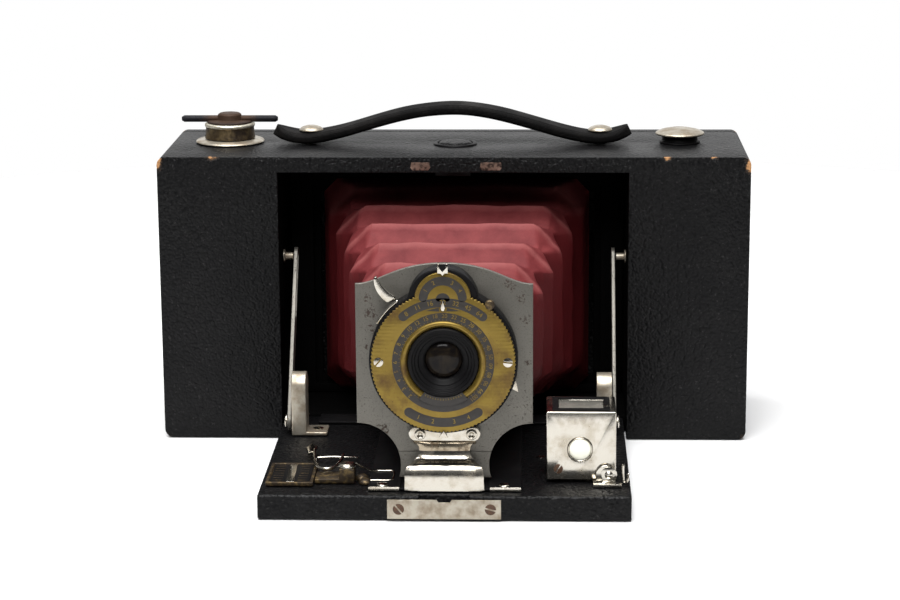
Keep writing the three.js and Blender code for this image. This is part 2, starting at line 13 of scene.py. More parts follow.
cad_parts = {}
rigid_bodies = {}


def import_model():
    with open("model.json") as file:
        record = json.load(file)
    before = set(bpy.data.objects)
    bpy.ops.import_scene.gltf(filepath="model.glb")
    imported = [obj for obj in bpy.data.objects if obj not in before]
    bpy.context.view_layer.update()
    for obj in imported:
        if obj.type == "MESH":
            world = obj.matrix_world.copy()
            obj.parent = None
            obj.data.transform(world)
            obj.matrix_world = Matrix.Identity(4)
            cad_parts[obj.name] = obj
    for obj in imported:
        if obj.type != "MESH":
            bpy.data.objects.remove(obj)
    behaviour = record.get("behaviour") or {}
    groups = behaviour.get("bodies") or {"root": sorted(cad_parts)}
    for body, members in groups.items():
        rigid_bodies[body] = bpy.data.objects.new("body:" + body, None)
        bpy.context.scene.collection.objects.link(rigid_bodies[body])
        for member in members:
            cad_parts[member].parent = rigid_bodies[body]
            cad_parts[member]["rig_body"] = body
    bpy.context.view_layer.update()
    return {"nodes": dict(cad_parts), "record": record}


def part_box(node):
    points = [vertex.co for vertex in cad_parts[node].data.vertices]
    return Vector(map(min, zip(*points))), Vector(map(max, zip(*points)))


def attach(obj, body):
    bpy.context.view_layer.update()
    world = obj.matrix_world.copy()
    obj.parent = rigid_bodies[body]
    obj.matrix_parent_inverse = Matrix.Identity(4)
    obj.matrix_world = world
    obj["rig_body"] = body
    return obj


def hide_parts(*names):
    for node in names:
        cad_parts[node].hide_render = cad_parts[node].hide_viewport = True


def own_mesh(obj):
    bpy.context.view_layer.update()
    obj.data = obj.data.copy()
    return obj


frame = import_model()

MM = 0.001
NODES = frame["nodes"]
SLOT_OF = {part["node"]: part["material_slot"] for part in frame["record"]["subparts"]}
BODY_OF = {node: NODES[node]["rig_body"] for node in NODES}


def box_mm(node):
    low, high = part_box(node)
    return low / MM, high / MM


def middle(node):
    low, high = box_mm(node)
    return (low + high) / 2


# ------------------------------------------------------------------ camera
CAMERA_PLACE = Vector((25.5, -722.7, 205.2))
CAMERA_PITCH = math.radians(13.163)
CAMERA_YAW = math.radians(2.173)
CAMERA_ROLL = math.radians(-0.343)
FOCAL_LENGTH = 98.63
SENSOR_WIDTH = 36.0


def make_camera():
    right = Vector((math.cos(CAMERA_YAW), math.sin(CAMERA_YAW), 0))
    level = Vector((-math.sin(CAMERA_YAW), math.cos(CAMERA_YAW), 0))
    forward = level * math.cos(CAMERA_PITCH) - Vector((0, 0, math.sin(CAMERA_PITCH)))
    up = right.cross(forward)
    rolled_right = right * math.cos(CAMERA_ROLL) + up * math.sin(CAMERA_ROLL)
    rolled_up = up * math.cos(CAMERA_ROLL) - right * math.sin(CAMERA_ROLL)
    turn = Matrix((rolled_right, rolled_up, -forward)).transposed().to_4x4()
    data = bpy.data.cameras.new("view")
    data.lens = FOCAL_LENGTH
    data.sensor_width = SENSOR_WIDTH
    data.clip_start = 0.01
    data.clip_end = 50
    camera = object_of("view", data)
    camera.matrix_world = Matrix.Translation(CAMERA_PLACE * MM) @ turn
    bpy.context.scene.camera = camera


# ------------------------------------------------------------------ materials
class Nodes:
    """Short calls that add nodes to a tree."""

    def __init__(self, tree):
        self.tree = tree

    def add(self, kind):
        return self.tree.nodes.new("ShaderNode" + kind)

    def feed(self, socket, value):
        if isinstance(value, bpy.types.NodeSocket):
            self.tree.links.new(value, socket)
        elif isinstance(value, (tuple, list)) and len(value) == 3 and socket.type == "RGBA":
            socket.default_value = (*value, 1)
        else:
            socket.default_value = value

    def math(self, operation, a, b=0.0):
        node = self.add("Math")
        node.operation = operation
        self.feed(node.inputs[0], a)
        self.feed(node.inputs[1], b)
        return node.outputs[0]

    def spread(self, value, low, high, to_low=0.0, to_high=1.0):
        """The value's range from low to high, stretched to another range and cut off at its ends."""
        node = self.add("MapRange")
        node.clamp = True
        self.feed(node.inputs["Value"], value)
        node.inputs["From Min"].default_value = low
        node.inputs["From Max"].default_value = high
        node.inputs["To Min"].default_value = to_low
        node.inputs["To Max"].default_value = to_high
        return node.outputs[0]

    def mix(self, factor, a, b):
        node = self.add("Mix")
        node.data_type = "RGBA"
        self.feed(node.inputs[0], factor)
        self.feed(node.inputs[6], a)
        self.feed(node.inputs[7], b)
        return node.outputs[2]


class Shader(Nodes):
    """One material and short calls for its surface."""

    def __init__(self, name):
        self.material = bpy.data.materials.new(name)
        self.material.use_nodes = True
        super().__init__(self.material.node_tree)
        self.surface = self.tree.nodes["Principled BSDF"]
        self.coordinates = self.add("TexCoord").outputs["Object"]

    def set(self, **inputs):
        for name, value in inputs.items():
            self.feed(self.surface.inputs[name.replace("_", " ")], value)

    def noise(self, size, detail=4.0, rough=0.55, stretch=(1, 1, 1), twist=0.0):
        """Noise whose blotches are about size millimetres across."""
        node = self.add("TexNoise")
        node.inputs["Scale"].default_value = 1 / (size * MM)
        node.inputs["Detail"].default_value = detail
        node.inputs["Roughness"].default_value = rough
        node.inputs["Distortion"].default_value = twist
        self.feed(node.inputs["Vector"], self.stretched(stretch))
        return node.outputs["Fac"]

    def stretched(self, stretch):
        if stretch == (1, 1, 1):
            return self.coordinates
        node = self.add("VectorMath")
        node.operation = "MULTIPLY"
        self.feed(node.inputs[0], self.coordinates)
        node.inputs[1].default_value = stretch
        return node.outputs[0]

    def cells(self, size, feature="F1", smooth=0.3, stretch=(1, 1, 1)):
        node = self.add("TexVoronoi")
        node.feature = feature
        node.inputs["Scale"].default_value = 1 / (size * MM)
        if feature == "SMOOTH_F1":
            node.inputs["Smoothness"].default_value = smooth
        self.feed(node.inputs["Vector"], self.stretched(stretch))
        return node.outputs["Distance"]

    def bump(self, height, depth, under=None, strength=1.0):
        """A bump whose height from 0 to 1 stands for depth millimetres."""
        node = self.add("Bump")
        node.inputs["Strength"].default_value = strength
        node.inputs["Distance"].default_value = depth * MM
        self.feed(node.inputs["Height"], height)
        if under is not None:
            self.feed(node.inputs["Normal"], under)
        return node.outputs[0]

    def uneven(self, size, detail, low, high):
        """A value that wanders from low to high."""
        return self.spread(self.noise(size, detail), 0.3, 0.7, low, high)

    def grain(self, size, detail, depth, strength):
        """Fine roughness over the whole surface."""
        self.set(Normal=self.bump(self.noise(size, detail), depth, strength=strength))

    def attribute(self, name):
        node = self.add("Attribute")
        node.attribute_name = name
        return node.outputs["Fac"]

    def distance_to(self, point, stretch=(1, 1, 1)):
        """Distance in millimetres from a point of the row frame."""
        node = self.add("VectorMath")
        node.operation = "DISTANCE"
        self.feed(node.inputs[0], self.stretched(stretch))
        node.inputs[1].default_value = tuple(c * MM * s for c, s in zip(point, stretch))
        return self.math("DIVIDE", node.outputs["Value"], MM)

    def spots(self, places, ragged=1.0):
        """1 inside ragged spots and 0 outside; places holds (point, radius) or (point, radius, stretch)."""
        border = 0.25
        wander = self.math("MULTIPLY", self.math("SUBTRACT", self.noise(1.6, 5), 0.5), 3.2 * ragged)
        total = 0.0
        for point, radius, *stretch in places:
            away = self.distance_to(point, *stretch)
            inside = self.spread(self.math("ADD", away, wander), radius + border, radius - border)
            total = inside if total == 0.0 else self.math("MAXIMUM", total, inside)
        return total


CASE_LOW, CASE_HIGH = box_mm("case_shell")
BACK_HIGH = box_mm("back_cover")[1]
BARE_WOOD = (0.22, 0.11, 0.05)


def corner_wear():
    """The places where the covering is worn through to the wood: (point, radius, stretch)."""
    x0, y0, z0 = CASE_LOW
    x1, z1 = CASE_HIGH.x, CASE_HIGH.z
    y1 = BACK_HIGH.y
    tall = (1, 1, 0.55)
    along = (0.6, 1, 1)
    return [
        ((x0, y0, z1 - 1.4), 1.15, tall), ((x1, y0, z1 - 1.8), 1.35, tall),
        ((x0, y1, z1), 1.7), ((x1, y1, z1), 1.5), ((x0, y1, z0), 1.6), ((x1, y1, z0), 1.9),
        ((x0, y0, z0), 1.2), ((x1, y0, z0), 1.0),
        ((-69.6, y0, z1), 0.55, along), ((61.5, y0, z1), 0.2, along), ((74.5, y0, z1), 0.15, along),
    ]


def leatherette(s):
    pebbles = s.cells(0.85, "SMOOTH_F1", 0.5)
    fine = s.noise(0.35, 3)
    creases = s.cells(2.4, "DISTANCE_TO_EDGE")
    rubbed = s.spread(s.noise(16, 5), 0.4, 0.75)
    worn = s.spots(corner_wear())
    edge = s.spots([(point, radius + 0.5, *rest) for point, radius, *rest in corner_wear()])
    black = s.mix(rubbed, (0.0032, 0.0032, 0.0035), (0.0062, 0.0060, 0.0062))
    # Painted shade and sheen: the hollows between the pebbles are painted darker, so the tops of the grain
    # read lighter, and sparse lighter specks stand for glints on the grain.
    black = s.mix(s.spread(pebbles, 0.35, 0.75), black, (0.0018, 0.0018, 0.002))
    painted_sheen_specks = s.mix(s.spread(s.noise(0.9, 6, 0.7), 0.60, 0.68), black, (0.026, 0.025, 0.025))
    ragged = s.mix(edge, painted_sheen_specks, (0.03, 0.02, 0.014))
    wood = s.mix(s.noise(0.8, 5, stretch=(0.2, 1, 1)), BARE_WOOD, (0.50, 0.27, 0.12))
    s.set(Base_Color=s.mix(worn, ragged, wood), Specular_IOR_Level=0.13)
    s.set(Roughness=s.math("ADD", s.spread(rubbed, 0, 1, 0.42, 0.34), s.math("MULTIPLY", worn, 0.3)))
    grain = s.bump(s.math("SUBTRACT", 1.0, pebbles), 0.22, strength=0.9)
    grain = s.bump(s.spread(creases, 0, 0.16), 0.12, grain, 0.7)
    grain = s.bump(fine, 0.08, grain, 0.6)
    s.set(Normal=s.bump(s.math("SUBTRACT", 1.0, edge), 0.35, grain, 0.8))


def matt_black(s):
    """The dead black paint of the case's inside."""
    dust = s.spread(s.noise(1.3, 6, 0.7), 0.62, 0.75)
    s.set(Base_Color=s.mix(dust, (0.0018, 0.0017, 0.0017), (0.006, 0.0055, 0.005)))
    s.set(Roughness=s.uneven(5, 4, 0.75, 0.92), Specular_IOR_Level=0.03)
    s.grain(0.6, 4, 0.04, 0.6)


def black_paint(s):
    patches = s.noise(7, 5)
    scratches = s.spread(s.noise(0.5, 6, 0.75, stretch=(1, 0.15, 1)), 0.64, 0.69)
    base = s.mix(patches, (0.003, 0.003, 0.0035), (0.008, 0.0075, 0.0075))
    s.set(Base_Color=s.mix(scratches, base, (0.03, 0.028, 0.027)))
    s.set(Roughness=s.spread(patches, 0.3, 0.7, 0.32, 0.48), Specular_IOR_Level=0.07)
    s.grain(1.2, 4, 0.03, 0.5)


def nickel(s):
    cloud = s.noise(5, 6, 0.6)
    tarnish = s.spread(cloud, 0.46, 0.74)
    specks = s.spread(s.noise(0.5, 4, 0.6), 0.70, 0.76)
    plate = s.mix(tarnish, (0.54, 0.51, 0.45), (0.38, 0.33, 0.25))
    s.set(Base_Color=s.mix(specks, plate, (0.10, 0.055, 0.03)))
    s.set(Metallic=s.spread(specks, 0, 1, 1.0, 0.3))
    hair = s.noise(0.25, 3, 0.7, stretch=(0.1, 1, 1))
    s.set(Roughness=s.math("ADD", s.spread(tarnish, 0, 1, 0.16, 0.34), s.math("MULTIPLY", specks, 0.4)))
    s.set(Normal=s.bump(s.noise(2.5, 3), 0.02, s.bump(hair, 0.006, strength=0.5), 0.5))


def worn_nickel(s):
    """Nickel with broad brown tarnish, where fingers touch it."""
    brown = s.spread(s.noise(2.6, 6, 0.62), 0.42, 0.62)
    specks = s.spread(s.noise(0.5, 4, 0.6), 0.66, 0.72)
    plate = s.mix(brown, (0.36, 0.305, 0.225), (0.12, 0.085, 0.052))
    s.set(Base_Color=s.mix(specks, plate, (0.06, 0.035, 0.02)))
    s.set(Metallic=0.9, Roughness=s.spread(brown, 0, 1, 0.2, 0.36))
    s.grain(1.5, 3, 0.02, 0.5)


def rust(s):
    flakes = s.noise(0.45, 5, 0.65)
    s.set(Base_Color=s.mix(s.spread(flakes, 0.35, 0.65), (0.030, 0.014, 0.007), (0.10, 0.047, 0.022)))
    s.set(Metallic=0.1, Roughness=s.spread(flakes, 0.3, 0.7, 0.45, 0.8))
    s.set(Normal=s.bump(flakes, 0.12, strength=0.9))


def copper(s):
    """Plating worn through to copper, with patches of dark rust."""
    worn = s.spread(s.noise(1.1, 5, 0.6), 0.42, 0.6)
    s.set(Base_Color=s.mix(worn, (0.20, 0.125, 0.095), (0.030, 0.017, 0.013)))
    s.set(Metallic=0.7, Roughness=s.spread(worn, 0, 1, 0.3, 0.7))
    s.grain(0.5, 4, 0.05, 0.7)


def grey_steel(s):
    cloud = s.noise(9, 6, 0.6)
    pits = s.spread(s.noise(0.6, 5, 0.62), 0.60, 0.65)
    gate = s.spread(s.noise(6, 3), 0.40, 0.58)
    eaten = s.math("MULTIPLY", pits, s.spread(gate, 0, 1, 0.3, 1.0))
    front = box_mm("front_plate")[0].y
    worst = s.spots([((-19.8, front, 58), 1.0), ((-19.2, front, 54), 1.7), ((-18.6, front, 49.5), 1.2),
                     ((-20.3, front, 45), 0.4), ((20.5, front, 58), 1.6), ((21.6, front, 52), 1.0),
                     ((17.2, front, 61.5), 1.2), ((22.0, front, 41), 0.6), ((-16.5, front, 22.5), 1.4),
                     ((15.8, front, 19.5), 1.2)], 1.8)
    eaten = s.math("MAXIMUM", eaten, s.math("MULTIPLY", worst, s.spread(s.noise(0.7, 5), 0.47, 0.56)))
    metal = s.mix(cloud, (0.105, 0.10, 0.088), (0.165, 0.155, 0.135))
    metal = s.mix(s.spread(s.noise(0.42, 4, 0.7), 0.52, 0.72, 0.0, 0.6), metal, (0.045, 0.040, 0.034))
    s.set(Base_Color=s.mix(eaten, metal, (0.035, 0.022, 0.015)))
    s.set(Metallic=s.spread(eaten, 0, 1, 0.75, 0.1), Roughness=s.spread(eaten, 0, 1, 0.46, 0.8))
    grain = s.bump(s.noise(0.3, 3), 0.012, strength=0.5)
    s.set(Normal=s.bump(s.math("SUBTRACT", 1.0, eaten), 0.09, grain, 0.8))


def brass(s):
    cloud = s.noise(7, 6, 0.6)
    stain = s.spread(cloud, 0.5, 0.72)
    specks = s.spread(s.noise(0.55, 4, 0.6), 0.645, 0.71)
    metal = s.mix(s.noise(2.2, 5), (0.22, 0.150, 0.026), (0.155, 0.102, 0.021))
    metal = s.mix(stain, metal, (0.090, 0.050, 0.018))
    s.set(Base_Color=s.mix(specks, metal, (0.07, 0.035, 0.015)))
    s.set(Metallic=0.72, Roughness=s.spread(stain, 0, 1, 0.33, 0.5))
    fine = s.noise(0.22, 3, 0.7, stretch=(1, 1, 0.12))
    s.set(Normal=s.bump(s.noise(3, 4), 0.025, s.bump(fine, 0.008, strength=0.5), 0.5))


def bronze(s):
    """Brass gone nearly black, bright only where it is touched."""
    rubbed = s.spread(s.noise(1.6, 6, 0.65), 0.50, 0.68)
    s.set(Base_Color=s.mix(rubbed, (0.030, 0.020, 0.011), (0.17, 0.115, 0.045)))
    s.set(Metallic=0.6, Roughness=s.spread(rubbed, 0, 1, 0.55, 0.34))
    s.grain(0.5, 4, 0.04, 0.6)


def lacquer(s):
    """Dark lacquer that fills the recessed bands of the dial."""
    s.set(Base_Color=s.mix(s.noise(1.5, 5), (0.010, 0.0085, 0.0075), (0.021, 0.017, 0.014)))
    s.set(Metallic=0.1, Roughness=s.uneven(0.8, 4, 0.42, 0.6))
    s.grain(0.35, 3, 0.02, 0.5)


def strap_leather(s):
    grain = s.cells(0.5, "SMOOTH_F1", 0.4)
    cracks = s.cells(1.7, "DISTANCE_TO_EDGE", stretch=(1, 0.45, 1))
    rubbed = s.spread(s.noise(11, 5), 0.42, 0.7)
    base = s.mix(rubbed, (0.003, 0.0028, 0.0028), (0.008, 0.007, 0.0065))
    s.set(Base_Color=s.mix(s.spread(cracks, 0.0, 0.05, 0.8, 0.0), base, (0.004, 0.004, 0.004)))
    s.set(Roughness=s.spread(rubbed, 0, 1, 0.7, 0.54), Specular_IOR_Level=0.04)
    under = s.bump(s.spread(cracks, 0, 0.08), 0.12, strength=0.6)
    s.set(Normal=s.bump(s.math("SUBTRACT", 1.0, grain), 0.06, under, 0.6))


def bellows_leather(s):
    # Painted highlight: the ridges of the folds are painted a lighter red.
    ridge = s.spread(s.math("ADD", s.attribute("fold"), s.math("MULTIPLY", s.noise(3, 5), 0.25)), 0.82, 1.12)
    blotch = s.spread(s.noise(9, 6, 0.6), 0.35, 0.7)
    red = s.mix(blotch, (0.095, 0.015, 0.017), (0.155, 0.030, 0.031))
    red = s.mix(s.math("MULTIPLY", ridge, 0.7), red, (0.23, 0.068, 0.066))
    dirty = s.spread(s.noise(1.1, 6, 0.7), 0.6, 0.72)
    red = s.mix(s.math("MULTIPLY", dirty, 0.45), red, (0.085, 0.018, 0.018))
    # Painted shade: faces that turn sideways or down are painted dark red, and only the upward faces keep
    # the lit red.
    s.set(Base_Color=s.mix(s.spread(s.attribute("painted_top_light"), 0.1, 0.75), (0.062, 0.0058, 0.007), red))
    s.set(Roughness=0.6, Specular_IOR_Level=0.1)
    grain = s.bump(s.cells(0.45, "SMOOTH_F1", 0.4), 0.04, strength=0.6)
    s.set(Normal=s.bump(s.noise(2.8, 5, 0.6, stretch=(1, 0.5, 1)), 0.16, grain, 0.6))


def lens_glass(s):
    # Painted reflection: faint brown blotches in the glass's colour stand for reflections in it.
    s.set(Base_Color=s.mix(s.spread(s.noise(3.2, 3, twist=1.5), 0.4, 0.65), (0.006, 0.005, 0.005),
                           (0.016, 0.012, 0.008)))
    s.set(Roughness=0.08, Specular_IOR_Level=0.1)


def milk_glass(s):
    """The finder's lens, painted near white: painted light for the mirror's bright picture of the room."""
    s.set(Base_Color=s.mix(s.noise(2.4, 3), (0.86, 0.84, 0.66), (0.93, 0.92, 0.84)))
    s.set(Roughness=0.12, Specular_IOR_Level=0.6, Coat_Weight=0.4, Coat_Roughness=0.04)
    s.grain(1.5, 3, 0.02, 0.4)


def window_glass(s):
    s.set(Base_Color=s.mix(s.noise(4, 3), (0.060, 0.057, 0.050), (0.17, 0.16, 0.14)))
    s.set(Roughness=s.uneven(1.2, 4, 0.08, 0.25), Specular_IOR_Level=0.6)


def red_window(s):
    s.set(Base_Color=s.mix(s.noise(5, 4), (0.20, 0.006, 0.004), (0.33, 0.015, 0.008)))
    s.set(Roughness=s.uneven(1.5, 4, 0.08, 0.22), Coat_Weight=0.5, Coat_Roughness=0.05)


def mirror(s):
    s.set(Base_Color=s.mix(s.spread(s.noise(2, 5), 0.6, 0.7), (0.85, 0.86, 0.86), (0.4, 0.36, 0.3)))
    s.set(Metallic=1.0, Roughness=0.04)


def dark_steel(s):
    """Blued steel, browned by rust toward the middle of the key."""
    centre = middle("winding_key")
    brown = s.spread(s.math("ADD", s.distance_to((centre.x, centre.y, 91)),
                            s.math("MULTIPLY", s.noise(1.4, 5), 5)), 11.5, 7.5)
    blued = s.mix(s.noise(2, 5), (0.007, 0.007, 0.009), (0.014, 0.014, 0.016))
    s.set(Base_Color=s.mix(brown, blued, (0.040, 0.023, 0.015)))
    s.set(Metallic=0.2, Roughness=s.uneven(0.9, 4, 0.45, 0.65), Specular_IOR_Level=0.1)
    s.grain(0.5, 4, 0.03, 0.5)


def dull_nickel(s):
    """Old nickel that has gone cream and grey."""
    cloud = s.noise(3, 6, 0.6)
    s.set(Base_Color=s.mix(s.spread(cloud, 0.4, 0.65), (0.40, 0.365, 0.30), (0.25, 0.205, 0.15)))
    s.set(Metallic=0.75, Roughness=s.spread(cloud, 0.3, 0.7, 0.28, 0.5))
    s.grain(0.6, 4, 0.03, 0.5)


def collar_nickel(s):
    """The key's collar: cream on its top rim and brown round its wall."""
    centre = middle("winding_key")
    away = s.distance_to((centre.x, centre.y, 80))
    top = s.spread(s.math("ADD", away, s.math("MULTIPLY", s.noise(1.2, 5), 0.8)), 11.9, 12.2)
    wall = s.mix(s.spread(s.noise(2.5, 5), 0.35, 0.6), (0.20, 0.145, 0.075), (0.055, 0.04, 0.03))
    s.set(Base_Color=s.mix(top, wall, (0.60, 0.56, 0.46)))
    s.set(Metallic=0.8, Roughness=s.uneven(0.8, 4, 0.28, 0.5))
    s.grain(0.5, 4, 0.04, 0.6)


def paper(s):
    """The white floor under the camera."""
    s.set(Base_Color=s.mix(s.noise(400, 2), (0.64, 0.64, 0.645), (0.66, 0.66, 0.66)))
    s.set(Roughness=0.7, Specular_IOR_Level=0.2)


def finished(describe):
    """The material that one of the functions above describes."""
    shader = Shader(describe.__name__)
    describe(shader)
    return shader.material


MATERIALS = {describe.__name__: finished(describe) for describe in (
    leatherette, matt_black, black_paint, strap_leather, bellows_leather, nickel, worn_nickel, dull_nickel,
    collar_nickel, grey_steel, dark_steel, rust, copper, brass, bronze, lacquer, lens_glass, milk_glass,
    window_glass, red_window, mirror, paper)}


# ------------------------------------------------------------------ making pieces
UPRIGHT = Matrix.Identity(4)
FORWARD = Matrix.Rotation(math.pi / 2, 4, "X")          # local +Z looks along -Y, local +Y is up
BACKWARD = Matrix.Rotation(-math.pi / 2, 4, "X")


def at(centre, turn=UPRIGHT):
    """Takes a piece drawn in millimetres round its own origin to its place in the frame."""
    return Matrix.Translation(Vector(centre) * MM) @ turn @ Matrix.Scale(MM, 4)


def object_of(name, data):
    made = bpy.data.objects.new(name, data)
    bpy.context.scene.collection.objects.link(made)
    return made


def evaluated_mesh(holder):
    bpy.context.view_layer.update()
    return bpy.data.meshes.new_from_object(holder.evaluated_get(bpy.context.evaluated_depsgraph_get()))


def apply_modifiers(piece):
    mesh = evaluated_mesh(piece)
    piece.modifiers.clear()
    piece.data = mesh


def place(piece, body, material, replaces=()):
    piece.data.materials.clear()
    piece.data.materials.append(MATERIALS[material])
    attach(piece, body)
    if replaces:
        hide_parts(*replaces)
    return piece


def smooth(mesh, angle):
    for polygon in mesh.polygons:
        polygon.use_smooth = True
    mesh.set_sharp_from_angle(angle=math.radians(angle))


def mesh_of(work, name, transform, angle):
    """The work as a mesh; edges that bend less than angle degrees are shaded smooth."""
    bmesh.ops.recalc_face_normals(work, faces=work.faces)
    mesh = bpy.data.meshes.new(name)
    work.to_mesh(mesh)
    work.free()
    mesh.transform(transform)
    smooth(mesh, angle)
    return mesh


def skin(work, rows, closed=True):
    """Faces between neighbouring rows of vertices, all the way round where the rows are closed."""
    count = len(rows[0])
    for low, high in zip(rows, rows[1:]):
        for k in range(count if closed else count - 1):
            j = (k + 1) % count
            work.faces.new((low[k], low[j], high[j], high[k]))


def refine(node, width, material=None, segments=2, crease=28):
    """A copy of a CAD node with its sharp edges rounded by width millimetres."""
    mesh = NODES[node].data.copy()
    work = bmesh.new()
    work.from_mesh(mesh)
    bmesh.ops.remove_doubles(work, verts=work.verts, dist=1e-6)
    bmesh.ops.dissolve_limit(work, angle_limit=math.radians(0.6), verts=work.verts, edges=work.edges)
    work.to_mesh(mesh)
    work.free()
    piece = object_of(node + "_finished", mesh)
    bevel = piece.modifiers.new("edges", "BEVEL")
    bevel.width = width * MM
    bevel.segments = segments
    bevel.limit_method = "ANGLE"
    bevel.angle_limit = math.radians(crease)
    bevel.use_clamp_overlap = True
    apply_modifiers(piece)
    smooth(piece.data, 35)
    return place(piece, BODY_OF[node], material or SLOT_OF[node], [node])


def filleted(profile, radius):
    """The profile with each inner corner replaced by three points of a small curve."""
    result = [profile[0]]
    for before, here, after in zip(profile, profile[1:], profile[2:]):
        back = Vector(before) - Vector(here)
        ahead = Vector(after) - Vector(here)
        reach = min(radius, back.length * 0.45, ahead.length * 0.45)
        start = Vector(here) + back.normalized() * reach
        end = Vector(here) + ahead.normalized() * reach
        for t in (0.0, 0.5, 1.0):
            curve = start * (1 - t) ** 2 + Vector(here) * 2 * t * (1 - t) + end * t * t
            result.append(tuple(curve))
    return result + [profile[-1]]


def turned(name, profile, centre, material, body, turn=UPRIGHT, replaces=(), fillet=0.25, segments=96):
    """A turned piece from (radius, height) points; a profile that doesn't start on the axis is a ring."""
    closed = profile[0][0] > 0
    points = filleted(profile + [profile[0], profile[1]] if closed else profile, fillet)
    if closed:
        points = points[1:-1]
    work = bmesh.new()
    rows = []
    for radius, height in points:
        count = 1 if radius < 1e-6 else segments
        rows.append([work.verts.new((radius * math.cos(2 * math.pi * i / segments),
                                     radius * math.sin(2 * math.pi * i / segments), height))
                     for i in range(count)])
    pairs = list(zip(rows, rows[1:])) + ([(rows[-1], rows[0])] if closed else [])
    for low, high in pairs:
        for i in range(segments):
            j = (i + 1) % segments
            ring = [low[i % len(low)], low[j % len(low)], high[j % len(high)], high[i % len(high)]]
            corners = list(dict.fromkeys(ring))
            if len(corners) > 2:
                work.faces.new(corners)
    bmesh.ops.remove_doubles(work, verts=work.verts, dist=1e-5)
    mesh = mesh_of(work, name, at(centre, turn), 50)
    return place(object_of(name, mesh), body, material, replaces)


def arc(cx, cy, radius, start, end, steps=24):
    """Points of an arc; angles in degrees, counted from +X toward +Y."""
    angles = [math.radians(start + (end - start) * i / steps) for i in range(steps + 1)]
    return [(cx + radius * math.cos(a), cy + radius * math.sin(a)) for a in angles]


def bezier(a, b, c, d, steps=16):
    """Points of a cubic curve after its first."""
    result = []
    for i in range(1, steps + 1):
        t = i / steps
        u = 1 - t
        result.append(tuple(u ** 3 * p + 3 * u * u * t * q + 3 * u * t * t * r + t ** 3 * s
                            for p, q, r, s in zip(a, b, c, d)))
    return result


def sheet_metal(name, outlines, back, front, material, body, turn=UPRIGHT, centre=(0, 0, 0),
                edge=0.12, replaces=()):
    """A flat plate with rounded edges: outlines are closed point lists, the first outside, others holes."""
    curve = bpy.data.curves.new(name, "CURVE")
    curve.dimensions = "2D"
    curve.fill_mode = "BOTH"
    for outline in outlines:
        spline = curve.splines.new("POLY")
        spline.points.add(len(outline) - 1)
        for point, (x, y) in zip(spline.points, outline):
            point.co = (x, y, 0, 1)
        spline.use_cyclic_u = True
    curve.extrude = (front - back) / 2 - edge
    curve.bevel_depth = edge
    curve.bevel_resolution = 2
    curve.offset = -edge
    holder = object_of(name + "_outline", curve)
    flat = evaluated_mesh(holder)
    bpy.data.objects.remove(holder)
    flat.transform(at(centre, turn) @ Matrix.Translation((0, 0, (back + front) / 2)))
    work = bmesh.new()
    work.from_mesh(flat)
    bpy.data.meshes.remove(flat)
    bmesh.ops.remove_doubles(work, verts=work.verts, dist=2e-7)
    mesh = mesh_of(work, name, UPRIGHT, 40)
    return place(object_of(name, mesh), body, material, replaces)


def rectangle(left, front, right, back):
    return [(left, front), (right, front), (right, back), (left, back)]


def spline_points(points, steps):
    """A smooth line through the points, steps samples to each span."""
    line = [Vector(p) for p in points]
    padded = [line[0] * 2 - line[1]] + line + [line[-1] * 2 - line[-2]]
    result = []
    for a, b, c, d in zip(padded, padded[1:], padded[2:], padded[3:]):
        for i in range(steps):
            t = i / steps
            result.append(0.5 * ((2 * b) + (c - a) * t + (2 * a - 5 * b + 4 * c - d) * t * t
                                 + (3 * b - a - 3 * c + d) * t ** 3))
    return result + [line[-1]]


def wire(name, points, radius, material, body):
    """A round wire with closed, narrowed ends along a smooth line through the points."""
    sides = 12
    line = spline_points(points, 8)
    work = bmesh.new()
    rows = []
    normal = (line[1] - line[0]).orthogonal().normalized()
    for i, here in enumerate(line):
        tangent = (line[min(i + 1, len(line) - 1)] - line[max(i - 1, 0)]).normalized()
        normal = (normal - tangent * normal.dot(tangent)).normalized()
        across = tangent.cross(normal)
        end = min(i, len(line) - 1 - i)
        thin = radius * (0.6 if end == 0 else 1.0)
        rows.append([work.verts.new(here + normal * thin * math.cos(2 * math.pi * k / sides)
                                    + across * thin * math.sin(2 * math.pi * k / sides))
                     for k in range(sides)])
    skin(work, rows)
    work.faces.new(list(reversed(rows[0])))
    work.faces.new(rows[-1])
    mesh = mesh_of(work, name, Matrix.Scale(MM, 4), 60)
    return place(object_of(name, mesh), body, material)


def screw_head():
    """A domed, slotted screw head of radius 1, standing on the plane z = 0."""
    slot_half, slot_floor, dome, rim, foot = 0.15, -0.05, 0.30, 0.16, -0.15
    steps, columns = 18, 9
    outside = [-math.cos(math.pi / 2 * i / columns) for i in range(columns + 1)]
    left = [x for x in outside if x < -slot_half - 0.02] + [-slot_half]
    stations = [(x, True) for x in left] + [(-slot_half, False), (slot_half, False)]
    stations += [(-x, True) for x in reversed(left)]
    work = bmesh.new()
    rows = []
    for x, on_top in stations:
        reach = math.sqrt(max(0.0, 1 - x * x))
        row = []
        for j in range(steps + 1):
            y = reach * (2 * j / steps - 1)
            height = rim + (dome - rim) * (1 - x * x - y * y) if on_top else slot_floor
            row.append(work.verts.new((x, y, height)))
        rows.append(row)
    for low, high in zip(rows, rows[1:]):
        for j in range(steps):
            work.faces.new((low[j], high[j], high[j + 1], low[j + 1]))
    bmesh.ops.remove_doubles(work, verts=work.verts, dist=1e-5)
    border = [e for e in work.edges if e.is_boundary]
    skirt = bmesh.ops.extrude_edge_only(work, edges=border)["geom"]
    for vertex in skirt:
        if isinstance(vertex, bmesh.types.BMVert):
            vertex.co.z = foot
    base = [e for e in work.edges if e.is_boundary]
    bmesh.ops.contextual_create(work, geom=base)
    return mesh_of(work, "screw_head", UPRIGHT, 40)


